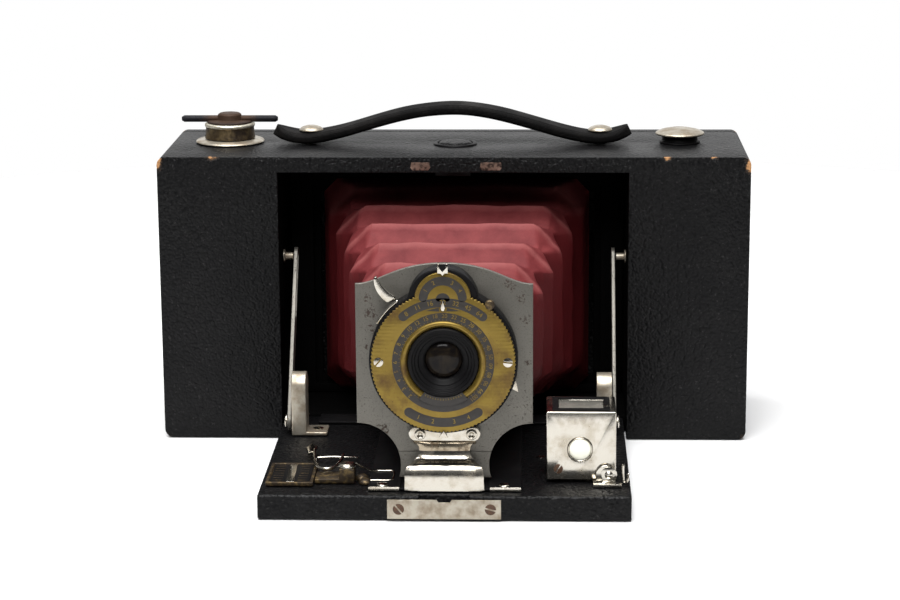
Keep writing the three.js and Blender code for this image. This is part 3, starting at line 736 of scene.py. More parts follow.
SCREW_HEAD = screw_head()


def screw(name, centre, radius, body, turn=FORWARD, material="nickel", slot_angle=20.0):
    mesh = SCREW_HEAD.copy()
    spin = Matrix.Rotation(math.radians(slot_angle), 4, "Z")
    mesh.transform(at(centre, turn) @ spin @ Matrix.Scale(radius, 4))
    return place(object_of(name, mesh), body, material)


# ------------------------------------------------------------------ case
def paint_inside(shell):
    """Gives every wall inside the case the matt black paint, and leaves the covering on the outside."""
    low, high = CASE_LOW, CASE_HIGH
    wall = 1.2
    shell.data.materials.append(MATERIALS["matt_black"])
    for polygon in shell.data.polygons:
        centre = polygon.center / MM
        outside = (centre.x < low.x + wall or centre.x > high.x - wall or centre.y < low.y + wall
                   or centre.z < low.z + wall or centre.z > high.z - wall)
        polygon.material_index = 0 if outside else 1


def make_case():
    paint_inside(refine("case_shell", 1.0, segments=3))
    refine("back_cover", 0.9, segments=3)
    refine("bed_board", 0.45, segments=3)
    refine("film_gate", 0.3, "matt_black")
    refine("bellows_rear_frame", 0.3, "matt_black")
    front = CASE_LOW.y
    for side, left, right in (("left", -12.2, -6.4), ("right", 7.8, 14.2)):
        tab = [(left + 0.6, 80.1), (right - 0.6, 80.1), (right, 80.9), (right - 0.3, 82.5),
               (left + 0.3, 82.5), (left, 80.9)]
        sheet_metal(f"catch_tab_{side}", [tab], 0.0, 0.35, "copper", "case", FORWARD,
                    (0, front + 0.33, 0), edge=0.1)


def make_top():
    key = middle("key_escutcheon")

    def on_top(name, node, profile, material, fillet, axis=None):
        """A turned piece that stands on the case's top in place of the node, on its axis or another."""
        axis = axis or middle(node)
        turned(name, profile, (axis.x, axis.y, CASE_HIGH.z), material, BODY_OF[node],
               replaces=[node], fillet=fillet)

    on_top("key_escutcheon_turned", "key_escutcheon", [
        (3.2, 0.1), (9.6, 0.1), (10.25, 0.45), (9.9, 0.85), (8.3, 1.25), (3.2, 1.25)], "dull_nickel", 0.2)
    on_top("key_stem_turned", "winding_key", [
        (0, -12), (2.3, -12), (2.3, 1.5), (7.5, 1.5), (7.35, 2.4), (7.1, 4.6), (7.45, 5.1), (7.45, 5.7),
        (7.0, 6.0), (0, 6.0)], "collar_nickel", 0.2, key)
    turned("key_disc", [
        (0, 6.0), (6.7, 6.0), (6.7, 6.5), (6.2, 6.7), (3.6, 6.8), (3.5, 8.4), (2.9, 8.85), (0, 8.9)],
        (key.x, key.y, CASE_HIGH.z), "dark_steel", "winding_key", fillet=0.2)
    low, high = box_mm("winding_key")
    bar_height = CASE_HIGH.z + 7.1
    for side, end in (("left", low.x + 0.05), ("right", high.x - 0.05)):
        inner = key.x + math.copysign(2.5, end - key.x)
        bar = [(x, key.y, bar_height) for x in (inner, (inner + end) / 2, end)]
        wire(f"key_bar_{side}", bar, 1.0, "dark_steel", "winding_key")
    refine("key_clutch", 0.2)

    on_top("knob_collar_turned", "knob_collar", [
        (2.8, 0.1), (6.0, 0.1), (5.9, 0.5), (5.25, 0.8), (5.2, 1.9), (2.8, 1.9)], "black_paint", 0.15)
    on_top("spool_knob_turned", "spool_knob", [
        (0, -12), (2.2, -12), (2.2, 2.2), (6.9, 2.35), (7.3, 2.75), (7.1, 3.1), (5.6, 3.75), (3.0, 4.3),
        (0, 4.45)], "dull_nickel", 0.3)
    on_top("button_ring_turned", "button_ring", [
        (5.2, 0.05), (6.5, 0.05), (6.3, 0.45), (5.6, 0.6), (5.2, 0.4)], "black_paint", 0.1)
    on_top("release_button_turned", "release_button", [
        (0, -2.7), (5, -2.7), (5, 0.3), (4.5, 0.8), (2.5, 0.95), (0, 1.0)], "leatherette", 0.4)
    refine("bed_catch", 0.15, "black_paint")


# ------------------------------------------------------------------ back
def make_back():
    window = middle("red_window")
    turned("window_ring_turned", [
        (7.0, -2.4), (8.9, -2.4), (8.9, -0.1), (8.3, 0.15), (7.5, 0.15), (7.0, -0.3)],
           (window.x, BACK_HIGH.y, window.z), "nickel", "back", BACKWARD, ["window_ring"], 0.2)
    turned("red_window_disc", [(0, 0.0), (8.8, 0.0), (8.8, 1.4), (0, 1.5)],
           (window.x, box_mm("red_window")[0].y, window.z), "red_window", "back", BACKWARD,
           ["red_window"], 0.1)


# ------------------------------------------------------------------ handle
STRAP_LOW, STRAP_HIGH = box_mm("handle_strap")
STRAP_HALF = STRAP_HIGH.y - 0.05
STRAP_THICK = 2.85
STRAP_SHIFT = (STRAP_LOW.x + STRAP_HIGH.x) / 2
STRAP_REACH = (STRAP_HIGH.x - STRAP_LOW.x) / 2 - 0.05
STRAP_SEAT = STRAP_LOW.z + 0.05
STRAP_RISE = 8.6
STRAP_CURL = 2.5
STUD_X = middle("handle_stud_right").x


def strap_height(x):
    """Height of the strap's underside; x is counted from the strap's middle."""
    along = abs(x)
    if along > STUD_X:
        return STRAP_SEAT + STRAP_CURL * ((along - STUD_X) / (STRAP_REACH - STUD_X)) ** 2
    return STRAP_SEAT + STRAP_RISE * (0.5 + 0.5 * math.cos(math.pi * along / STUD_X)) ** 0.8


def strap_half_width(x):
    """The ends are half round."""
    into_end = max(0.0, STRAP_HALF - STRAP_REACH + abs(x))
    return math.sqrt(max(0.0, STRAP_HALF ** 2 - into_end ** 2))


def make_handle():
    along, across = 220, 36
    work = bmesh.new()
    rows = []
    for i in range(along + 1):
        phase = math.pi * i / along
        x = -(STRAP_REACH - 0.02) * math.cos(phase)
        half = max(0.05, strap_half_width(x))
        slope = (strap_height(x + 0.1) - strap_height(x - 0.1)) / 0.2
        normal = Vector((-slope, 0, 1)).normalized()
        row = []
        for k in range(2 * across):
            angle = 2 * math.pi * k / (2 * across)
            edge = math.copysign(abs(math.cos(angle)) ** 0.35, math.cos(angle))
            rise = math.copysign(abs(math.sin(angle)) ** 0.55, math.sin(angle))
            inset = half - abs(edge) * half
            groove = 0.22 * math.exp(-((inset - 1.6) / 0.28) ** 2) if rise > 0 else 0.0
            crown = 0.12 * (1 - edge * edge) * rise
            lift = STRAP_THICK / 2 * (1 + rise) - groove + crown
            wobble = noise.noise(Vector((x * 0.09, edge * 1.5, 3.1))) * 0.12
            underside = Vector((x + STRAP_SHIFT, edge * half, strap_height(x)))
            row.append(work.verts.new(underside + normal * (lift + wobble)))
        rows.append(row)
    skin(work, rows)
    work.faces.new(rows[0])
    work.faces.new(list(reversed(rows[-1])))
    mesh = mesh_of(work, "strap", Matrix.Scale(MM, 4), 60)
    leather = "strap_leather"
    place(object_of("handle_strap_leather", mesh), "case", leather, ["handle_strap"])
    for side in ("left", "right"):
        stud = middle(f"handle_stud_{side}")
        turned(f"handle_stud_{side}_turned", [
            (0, 0.1), (1.6, 0.1), (1.6, 3.7), (3.6, 3.8), (3.6, 4.1), (2.9, 4.75), (1.6, 5.2), (0, 5.3)],
            (stud.x, stud.y, CASE_HIGH.z), "dull_nickel", "case", replaces=[f"handle_stud_{side}"])


# ------------------------------------------------------------------ bellows
BELLOWS_REAR = 7.0
BELLOWS_FRONT = -90.7
PITCH = 14.0
FOLD_DEPTH = 4.2
VALLEY_CUT = 1.6
FRONT_VALLEY = -77.0                                   # where the last pleat slides into the others
TUCK = 0.9                                             # how much smaller the sliding end is
FOCUS_TRAVEL = 6.6                                     # how far the front slides into the rear pleats


def bellows_size(y):
    """Half width, top and bottom of the bellows over its ridges at depth y."""
    t = (BELLOWS_REAR - y) / (BELLOWS_REAR - BELLOWS_FRONT)
    half = 39.9 - 20.3 * t ** 0.9
    top = 72.0 - 19.0 * t
    bottom = 6.8 + 20.4 * t ** 1.1
    return half, top, bottom


def bellows_ring(y, inset, c):
    """The eight corners of a ring with corners cut by c, inset from the ridges."""
    half, top, bottom = bellows_size(y)
    half -= inset
    top -= inset
    bottom += inset
    right = [(half - c, y, bottom), (half, y, bottom + c), (half, y, top - c), (half - c, y, top)]
    return right + [(-x, y, z) for x, y, z in reversed(right)]


def rear_rings():
    """The rings of the pleats behind the last one: (corner points, 1 on a ridge or 0 in a valley)."""
    rings = [(bellows_ring(BELLOWS_REAR, 0.0, 4.0), 0.6)]
    ridge = 0.0
    while ridge > FRONT_VALLEY:
        rings.append((bellows_ring(ridge, 0.0, 8.5), 1.0))
        rings.append((bellows_ring(ridge - PITCH / 2, FOLD_DEPTH, VALLEY_CUT), 0.0))
        ridge -= PITCH
    return rings


def front_rings():
    return [
        (bellows_ring(FRONT_VALLEY + 3, FOLD_DEPTH + TUCK, VALLEY_CUT), 0.0),
        (bellows_ring(FRONT_VALLEY - FOCUS_TRAVEL, FOLD_DEPTH + TUCK, VALLEY_CUT), 0.0),
        (bellows_ring(FRONT_VALLEY - FOCUS_TRAVEL - 3.4, 0.8, 7.0), 1.0),
        (bellows_ring(BELLOWS_FRONT, 2.0, 3.0), 0.5),
    ]


def pleated(name, rings):
    """A tube of thin leather through the rings, its flat facets softened and slightly rippled."""
    work = bmesh.new()
    fold = work.verts.layers.float.new("fold")
    rows = []
    for corners, ridge in rings:
        row = []
        for corner in corners:
            vertex = work.verts.new(corner)
            vertex[fold] = ridge
            row.append(vertex)
        rows.append(row)
    skin(work, rows)
    bmesh.ops.subdivide_edges(work, edges=work.edges, cuts=7, use_grid_fill=True)
    bmesh.ops.smooth_vert(work, verts=[v for v in work.verts if not v.is_boundary], factor=0.45,
                          use_axis_x=True, use_axis_y=False, use_axis_z=True)
    for vertex in work.verts:
        fine = noise.noise(vertex.co * 0.5 + Vector((9, 2, 5)))
        ripple = noise.noise(vertex.co * 0.16) * 0.55 + fine * 0.22
        outward = Vector((vertex.co.x, 0, vertex.co.z - 38)).normalized()
        if not vertex.is_boundary:
            vertex.co += outward * ripple
    bmesh.ops.recalc_face_normals(work, faces=work.faces)
    work.normal_update()
    # Painted shade: how far each vertex faces up, which the bellows material uses to paint the sides and
    # underside dark.
    painted_top_light = work.verts.layers.float.new("painted_top_light")
    for vertex in work.verts:
        vertex[painted_top_light] = max(0.0, vertex.normal.z)
    piece = object_of(name, mesh_of(work, name, Matrix.Scale(MM, 4), 28))
    thick = piece.modifiers.new("leather", "SOLIDIFY")
    thick.thickness = 0.5 * MM
    thick.offset = -1
    apply_modifiers(piece)
    smooth(piece.data, 28)
    return piece


def make_bellows():
    leather = "bellows_leather"
    rear = place(pleated("bellows_pleats", rear_rings()), "case", leather, ["bellows"])
    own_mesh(rear)
    front = place(pleated("bellows_front_pleat", front_rings()), "standard", leather)
    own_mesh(front)


# ------------------------------------------------------------------ standard, shutter and lens
LENS_Z = middle("shutter_face").z - 2.05
PLATE_BACK = box_mm("front_plate")[1].y
LENS = Vector((0, PLATE_BACK, LENS_Z))
LOBE_RADIUS = 7.4
LOBE_UP = 16.7
FACE_RADIUS = 19.0
FACE_FRONT = 9.4
DISTANCES = (2, 3, 4, 5, 6, 7, 8, 9, 10, 12, 15, 18, 20, 22, 25, 28, 30, 35, 40, 50, 60, 80, 90, 99, 100)
STOPS = (8, 11, 16, 22, 32, 45, 64)


def facing(name, outlines, back, front, material, edge, body="standard", replaces=(), centre=LENS):
    """A flat piece that faces forward, drawn as seen from the front round the lens's axis or another."""
    return sheet_metal(name, outlines, back, front, material, body, FORWARD, centre, edge, replaces)


def round_piece(name, profile, material, fillet, replaces=(), centre=LENS, segments=96):
    """A turned piece of the standard that faces forward, on the lens's axis or another."""
    return turned(name, profile, centre, material, "standard", FORWARD, replaces, fillet, segments)


def circle(radius, steps, up=0.0):
    return arc(0, up, radius, 0, 360, steps)[:-1]


def lobed_outline(radius, lobe_radius, lobe_up, teeth=0, depth=0.0):
    """A circle with a smaller circle's lobe on top, and a milled edge where teeth are asked for."""
    cosine = (radius ** 2 - lobe_up ** 2 - lobe_radius ** 2) / (2 * lobe_up * lobe_radius)
    lobe = math.degrees(math.acos(cosine))
    x = lobe_radius * math.sin(math.radians(lobe))
    start = math.degrees(math.acos(x / radius))
    steps = max(120, teeth * 4)
    points = []
    for px, py in arc(0, 0, radius, 180 - start, 360 + start, steps):
        if teeth:
            angle = math.atan2(py, px)
            scale = 1 - depth / radius * (0.5 + 0.5 * math.cos(teeth * angle))
            px, py = px * scale, py * scale
        points.append((px, py))
    return points + arc(0, lobe_up, lobe_radius, 90 - lobe, 90 + lobe, 48)[1:-1]


SCOOP = 11.6
SCOOP_Z = 12.4
PLATE_HALF = 23.4
PLATE_BOTTOM = 16.2


def plate_outline():
    shoulder, peak = 62.0, 67.6
    start = math.degrees(math.asin((PLATE_BOTTOM - SCOOP_Z) / SCOOP))
    right = arc(PLATE_HALF, SCOOP_Z, SCOOP, 180 - start, 90, 24)
    right += [(PLATE_HALF, shoulder)]
    right += bezier((PLATE_HALF, shoulder), (17, shoulder), (13, peak), (0, peak), 24)
    left = [(-x, y) for x, y in reversed(right[:-1])]
    return right + left


def band(name, radius, half_width, start, end, up=0.0):
    """A lacquered arc on the dial with round ends."""
    a, b = math.radians(start), math.radians(end)
    first = (radius * math.cos(a), radius * math.sin(a))
    last = (radius * math.cos(b), radius * math.sin(b))
    outline = arc(0, 0, radius + half_width, start, end, 60)
    outline += arc(last[0], last[1], half_width, end, end + 180, 12)[1:]
    outline += arc(0, 0, radius - half_width, end, start, 60)[1:]
    outline += arc(first[0], first[1], half_width, start + 180, start + 360, 12)[1:-1]
    facing(name, [outline], FACE_FRONT - 0.2, FACE_FRONT + 0.05, "lacquer", 0.02,
           centre=LENS + Vector((0, 0, up)))


def ticks(name, radius, length, width, angles, proud=0.03):
    """Fine brass scale marks, one flat piece for each mark, joined into one mesh."""
    work = bmesh.new()
    for angle in angles:
        a = math.radians(angle)
        out = Vector((math.cos(a), math.sin(a), 0))
        side = Vector((-out.y, out.x, 0)) * width / 2
        base = Vector((0, 0, FACE_FRONT + proud))
        top = Vector((0, 0, 0.06))
        end = radius + length
        corners = [out * radius - side, out * end - side, out * end + side, out * radius + side]
        low = [work.verts.new(base + p) for p in corners]
        high = [work.verts.new(base + p + top) for p in corners]
        work.faces.new(high)
        work.faces.new(list(reversed(low)))
        skin(work, [low, high])
    mesh = mesh_of(work, name, at(LENS, FORWARD), 30)
    place(object_of(name, mesh), "standard", "brass")


def numeral(name, number, height, radius, angle, up=0.0):
    """A generic dial number, its top turned away from the dial's centre."""
    curve = bpy.data.curves.new(name, "FONT")
    curve.body = str(number)
    curve.size = height
    curve.extrude = 0.04
    curve.align_x = "CENTER"
    curve.align_y = "CENTER"
    holder = object_of(name + "_text", curve)
    mesh = evaluated_mesh(holder)
    bpy.data.objects.remove(holder)
    a = math.radians(angle)
    seat = Matrix.Translation((radius * math.cos(a), radius * math.sin(a), FACE_FRONT + 0.06))
    lean = Matrix.Rotation(math.radians(angle - 90 if angle > 0 else angle + 90), 4, "Z")
    mesh.transform(at(LENS + Vector((0, 0, up)), FORWARD) @ seat @ lean)
    place(object_of(name, mesh), "standard", "brass")


def make_dial():
    face = lobed_outline(FACE_RADIUS, LOBE_RADIUS, LOBE_UP, teeth=112, depth=0.34)
    facing("shutter_face_plate", [face, circle(10.6, 96)], 8.5, FACE_FRONT, "brass", 0.14,
           replaces=["shutter_face"])
    round_piece("lens_surround", [
        (9.4, 8.6), (11.1, 8.6), (11.15, 9.55), (10.8, 9.9), (10.3, 9.9), (9.4, 9.2)], "brass", 0.3)
    facing("dial_band_round", [circle(13.35, 120), circle(11.2, 120)], FACE_FRONT - 0.2, FACE_FRONT + 0.05,
           "lacquer", 0.02)
    low_sector = arc(0, 0, 11.6, 236, 304, 30) + arc(0, 0, 9.3, 302, 238, 30)
    facing("dial_band_low", [low_sector], FACE_FRONT - 0.2, FACE_FRONT + 0.56, "lacquer", 0.05)
    band("dial_band_top", 16.1, 1.2, 50, 130)
    band("dial_band_bottom", 16.2, 1.25, 236, 304)
    band("lobe_band", 5.15, 1.15, 8, 172, LOBE_UP)
    band("lobe_dot", 1.15, 0.75, 20, 160, LOBE_UP)
    ticks("round_scale", 11.3, 0.34, 0.12, range(-55, 236, 5))
    ticks("low_scale", 9.6, 0.5, 0.12, range(242, 300, 4), proud=0.55)
    for index, distance in enumerate(DISTANCES):
        numeral(f"distance_number_{index}", distance, 1.5, 12.5, 226 - index * 11.5)
    for index, stop in enumerate(STOPS):
        numeral(f"upper_number_{index}", stop, 1.75, 16.1, 126 - index * 12)
    for number, angle in enumerate((246, 260, 280, 294), 1):
        numeral(f"stop_number_{number}", number, 1.7, 16.2, angle - 360)
    for number, angle in enumerate((150, 118, 62, 30), 1):
        numeral(f"speed_number_{number}", number, 1.6, 5.15, angle, LOBE_UP)
    for side, x, slot_angle in (("left", -16.9, 140), ("right", 16.9, 85)):
        screw(f"face_screw_{side}", (x, PLATE_BACK - FACE_FRONT + 0.02, LENS_Z + 0.1), 1.25, "standard",
              slot_angle=slot_angle)
    needle = [(0, 17.2), (-0.55, 14.6), (-0.3, 13.9), (0.3, 13.9), (0.55, 14.6)]
    facing("dial_pointer", [needle], FACE_FRONT, FACE_FRONT + 0.35, "nickel", 0.1)
    for side, sign in (("left", -1), ("right", 1)):
        star = [(sign * 0.9, 13.75), (sign * 4.6, 13.85), (sign * 1.1, 14.75)]
        facing(f"dial_star_{side}", [star[::sign]], FACE_FRONT - 0.1, FACE_FRONT + 0.05, "lacquer",
               0.02)


def make_shutter():
    black = "black_paint"
    facing("shutter_case_drum", [lobed_outline(19.55, 9.3, 15.7), circle(17.2, 96)], 2.75, 8.2, black,
           0.5, replaces=["shutter_case"])
    facing("shutter_case_floor", [lobed_outline(19.3, 9.1, 15.7), circle(8.5, 64)], 1.5, 2.7, black,
           0.3)
    round_piece("front_cell_turned", [
        (5.0, 5.4), (9.3, 5.4), (9.3, 9.6), (9.0, 10.1), (8.3, 10.1), (8.1, 9.4), (7.6, 9.3), (7.4, 8.7),
        (6.7, 8.5), (6.5, 7.8), (5.5, 7.4), (5.0, 6.9)], black, 0.12, ["front_cell"])
    round_piece("front_lens_glass", [(0, 5.6), (4.9, 5.6), (4.9, 6.0), (4.0, 6.7), (2.4, 7.1), (0, 7.25)],
                "lens_glass", 0.6, ["front_lens"])
    round_piece("rear_cell_turned", [
        (4.6, -4.6), (7.4, -4.6), (7.4, -0.3), (7.9, -0.3), (7.9, 3.8), (4.6, 3.8)], black, 0.1,
                ["rear_cell"])
    round_piece("rear_lens_glass", [(0, -2.6), (4.4, -2.2), (4.4, -1.6), (0, -0.9)], "lens_glass",
                0.2, ["rear_lens"])
    round_piece("cable_pin", [(0, 8.2), (1.3, 8.2), (1.3, 9.3), (1.0, 9.6), (0, 9.65)], "bronze",
                0.15, centre=LENS + Vector((12.2, 0, 15.4)))
    stop_tip = [(17.7, -7.4), (19.6, -8.4), (19.0, -5.0), (18.4, -5.6)]
    facing("stop_tip", [stop_tip], 7.0, 7.6, "nickel", 0.12)
    for node in ("shutter_air_cylinder", "shutter_blade", "speed_pointer"):
        refine(node, 0.08)
    tip = [(-1.25, -20.15), (1.25, -20.15), (0, -18.3)]
    facing("aperture_pointer_tip", [tip], FACE_FRONT + 0.35, FACE_FRONT + 0.75, "nickel", 0.08,
           "aperture_pointer", ["aperture_pointer"])
    tail = rectangle(-0.8, -20.1, 0.8, -19.4)
    facing("aperture_pointer_tail", [tail], 8.4, FACE_FRONT + 0.35, black, 0.05,
           "aperture_pointer")
    top = LOBE_UP + LOBE_RADIUS
    inlay = [(0, top + 0.25), (0.9, top + 1.3), (0.9, top + 2.4), (-0.9, top + 2.4), (-0.9, top + 1.3)]
    facing("speed_pointer_inlay", [inlay], FACE_FRONT + 0.7, FACE_FRONT + 0.84, black, 0.02,
           "speed_pointer")
    lever = [(-12.3, 15.9), (-12.6, 17.0)]
    lever += bezier((-12.6, 17.0), (-14.6, 18.2), (-16.2, 19.8), (-17.5, 22.4))
    lever += [(-18.1, 21.9)] + bezier((-18.1, 21.9), (-18.3, 19.3), (-17.0, 16.9), (-14.6, 15.2))
    facing("release_lever_blade", [lever[::-1]], 5.2, 6.2, "nickel", 0.3, "release_lever",
           ["release_lever"])
    guard = [(x, PLATE_BACK - 7.6, LENS_Z + y) for x, y in arc(0, 0, 20.0, 126, 150, 6)]
    wire("release_guard", guard, 0.4, "nickel", "standard")


def make_plate():
    steel = "grey_steel"
    facing("front_plate_sheet", [plate_outline(), circle(8.4, 64, LENS_Z)], 0.0, 1.2, steel,
           0.16, replaces=["front_plate"], centre=(0, PLATE_BACK, 0))


# The bent nickel strap that joins the plate to the bed: (forward of the plate's back, height, half width).
FOOT_LINE = [
    (8.1, 7.3, 10.6), (8.1, 9.0, 10.5), (8.1, 10.7, 10.45), (7.85, 12.2, 10.4), (7.3, 13.5, 10.1),
    (6.3, 14.4, 9.3), (5.0, 15.0, 8.2), (4.3, 16.0, 7.1), (4.0, 17.2, 6.7), (3.9, 18.4, 6.9),
    (3.6, 19.4, 7.6), (2.9, 20.0, 8.4),
]
FOOT_SPLIT = 17.3


def border_of(grid):
    """The border of a grid of vertices, once round."""
    return [r[0] for r in grid] + grid[-1][1:] + [r[-1] for r in reversed(grid[:-1])] + grid[0][-2:0:-1]


def bent_strip(name, rows, thick, body, material, replaces=()):
    """A strip of sheet metal swept along (forward, height, half width) stations."""
    line = spline_points([Vector(r) for r in rows], 4)
    work = bmesh.new()
    across = 12
    faces = []
    for lift in (0.0, -thick):
        grid = []
        for i, here in enumerate(line):
            ahead = line[min(i + 1, len(line) - 1)] - line[max(i - 1, 0)]
            normal = Vector((ahead.y, -ahead.x)).normalized()
            row = []
            for k in range(across + 1):
                x = here.z * (2 * k / across - 1)
                curl = 0.5 * abs(2 * k / across - 1) ** 10
                offset = normal * (lift - curl)
                row.append(work.verts.new((x, -(here.x + offset.x), here.y + offset.y)))
            grid.append(row)
        faces.append(grid)
    outer, inner = faces
    skin(work, outer, closed=False)
    skin(work, inner, closed=False)
    skin(work, [border_of(outer), border_of(inner)])
    mesh = mesh_of(work, name, at((0, PLATE_BACK, 0)), 45)
    piece = place(object_of(name, mesh), body, material)
    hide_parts(*replaces)


def make_foot():
    lower = [r for r in FOOT_LINE if r[1] <= FOOT_SPLIT]
    upper = [r for r in FOOT_LINE if r[1] >= FOOT_SPLIT - 0.2]
    bent_strip("foot_strap", lower, 0.9, "standard_foot", "nickel", ["standard_foot"])
    bent_strip("foot_neck", upper, 0.9, "standard", "worn_nickel")
    web_end = math.degrees(math.asin((9.0 - SCOOP_Z) / SCOOP))
    web_start = math.degrees(math.asin((PLATE_BOTTOM - 0.05 - SCOOP_Z) / SCOOP))
    edge = arc(PLATE_HALF, SCOOP_Z, SCOOP, 180 - web_end, 180 - web_start, 10)
    web = edge + [(-x, y) for x, y in reversed(edge)]
    base = (0, PLATE_BACK, 0)
    facing("foot_web", [web], 0.15, 1.1, "grey_steel", 0.1, "standard_foot", centre=base)
    grip = [(-7.6, 19.75)] + arc(-7.5, 21.7, 2.05, 250, 110, 10) + [(-6.3, 23.35)]
    scallop = arc(0, LENS_Z, 19.75, 251.5, 288.5, 24)
    right = [(-x, y) for x, y in reversed(grip)]
    facing("clamp_plate", [grip + scallop + right], 2.2, 3.4, "nickel", 0.2,
           replaces=["standard_clamp"], centre=base)
    for side, x in (("left", -6.5), ("right", 7.2)):
        round_piece(f"clamp_screw_{side}", [(0.35, 3.4), (1.5, 3.4), (1.45, 3.8), (1.0, 4.0), (0.35, 3.6)],
                    "nickel", 0.1, centre=(x, PLATE_BACK, 21.6), segments=32)


# ------------------------------------------------------------------ bed fittings
BED_LOW, BED_HIGH = box_mm("bed_board")


def on_bed(name, outline, low, high, material, edge):
    """A flat piece that lies on the bed between two heights."""
    sheet_metal(name, [outline], low, high, material, "bed", edge=edge)


def make_bed():
    refine("hinge_leaf", 0.12, "black_paint")
    refine("track_plate", 0.12)
    for side in ("left", "right"):
        refine(f"strut_lug_{side}", 0.3, "dull_nickel", segments=3)
        refine(f"strut_{side}", 0.2, "grey_steel", segments=3)
        refine(f"strut_pin_{side}", 0.2, "dull_nickel")
        lug_low, lug_high = box_mm(f"strut_lug_{side}")
        sign = 1 if side == "right" else -1
        outer = max(abs(lug_low.x), abs(lug_high.x))
        lug_y = (lug_low.y + lug_high.y) / 2
        turned(f"strut_rivet_{side}", [(0, 0), (2.0, 0), (1.9, 0.35), (1.2, 0.7), (0, 0.8)],
               (sign * (outer - 0.15), lug_y, 10.4), "nickel", "bed",
               Matrix.Rotation(sign * math.pi / 2, 4, "Y"), segments=32)
        screw(f"lug_screw_{side}", (sign * 38.3, lug_y, 8.1), 1.5, "bed", UPRIGHT, slot_angle=30)
    half = BED_HIGH.x + 0.2
    strip = rectangle(-half, CASE_LOW.y + 0.05, half, CASE_LOW.y + 8.2)
    sheet_metal("hinge_strip", [strip], 0.03, 0.25, "matt_black", "case", edge=0.03)
    low, high = box_mm("latch_plate")
    notch = [(2.1, high.z), (1.6, high.z - 0.7), (-1.4, high.z - 0.7), (-1.9, high.z)]
    outline = [(low.x, low.z), (high.x, low.z), (high.x, high.z)] + notch + [(low.x, high.z)]
    facing("latch_plate_sheet", [outline], 0.0, 0.28, "dull_nickel", 0.1, "bed", ["latch_plate"],
           (0, BED_LOW.y - 0.3, 0))
    for side, x, angle in (("left", -12.0, 40), ("right", 12.3, 75)):
        screw(f"latch_screw_{side}", (x, BED_LOW.y - 0.34, 3.3), 1.5, "bed", material="rust",
              slot_angle=angle)
    for side, left, right in (("left", -20.2, -12.0), ("right", 12.1, 20.3)):
        on_bed(f"track_lip_{side}", rectangle(left, -98.6, right, -97.9), 7.1, 8.15, "nickel", 0.1)
        turned(f"track_screw_{side}", [(0, 0), (1.7, 0), (1.5, 0.5), (0, 0.75)],
               ((left + right) / 2 - 0.4, -96.2, 7.9), "nickel", "bed", segments=32)
    for which, spot in (("right", (25.6, -66.5, 7.0)), ("back", (15.5, -40.0, 8.0)),
                        ("left", (-15.5, -40.0, 8.0))):
        screw(f"bed_screw_{which}", spot, 1.2, "bed", UPRIGHT, slot_angle=55)


def make_focus():
    low, high = box_mm("focus_scale")
    rim_width = 1.0
    left, right = low.x + rim_width, high.x - rim_width
    front, back = low.y + rim_width, high.y - rim_width
    refine("focus_scale", 0.12, "bronze")
    refine("focus_stop", 0.25, "bronze")
    on_bed("focus_scale_dial", rectangle(left, front, right, back), 7.72, 7.95, "black_paint", 0.05)
    stripe = [(-42.6, front + 0.2), (-40.4, front + 0.2), (-40.9, back - 0.2), (-42.9, back - 0.2)]
    on_bed("focus_scale_stripe", stripe, 7.9, 8.08, "nickel", 0.04)
    for row in range(7):
        y = front + 1.6 + row * 2.1
        for side, start, end in (("left", -46.5, -43.8), ("right", -39.6, -37.2)):
            on_bed(f"focus_mark_{side}_{row}", rectangle(start, y, end, y + 0.25), 7.9, 8.02, "bronze", 0.02)
    turned("focus_stop_cap", [(0, 0), (2.4, 0), (2.5, 0.5), (1.9, 1.1), (0, 1.35)],
           (-26.3, -90.0, 11.1), "nickel", "bed", segments=48)
    wire("focus_lever_wire", [
        (-37.2, -67.6, 9.3), (-36.8, -72, 9.2), (-35.9, -80, 9.2), (-34.6, -84.8, 9.4), (-32.4, -86.8, 9.5),
        (-30.2, -85.4, 9.6), (-28.9, -81, 10.0), (-28.4, -76.2, 10.6)], 0.45, "nickel", "focus_lock_lever")
    thumb = [(-38.7, -71.4), (-36.7, -69.6), (-36.4, -64.9), (-38.4, -62.8), (-39.8, -66.8)]
    sheet_metal("focus_lever_thumb", [thumb], 8.5, 9.6, "nickel", "focus_lock_lever", edge=0.35,
                replaces=["focus_lock_lever"])
    wire("focus_link_wire", [
        (-36.2, -72.6, 8.3), (-32, -72.4, 8.5), (-28.6, -72.3, 8.4), (-24.5, -71.6, 8.0)],
         0.3, "nickel", "bed")
    wire("focus_spring_wire", [
        (-24.4, -86.5, 11.2), (-22.3, -85.6, 9.6), (-20.0, -84.6, 8.3), (-17.5, -84.1, 8.2),
        (-14.6, -84.3, 8.2), (-14.0, -86.2, 8.2), (-14.1, -91.0, 8.2), (-14.6, -92.6, 8.2),
        (-20.0, -92.8, 8.2)], 0.3, "nickel", "bed")
    for index, (x, y) in enumerate(((-22.6, -88.0), (-21.4, -91.6))):
        turned(f"focus_nut_{index}", [(0, 0), (1.9, 0), (1.8, 0.7), (1.0, 1.3), (0, 1.45)], (x, y, 7.0),
               "bronze", "bed", segments=32)


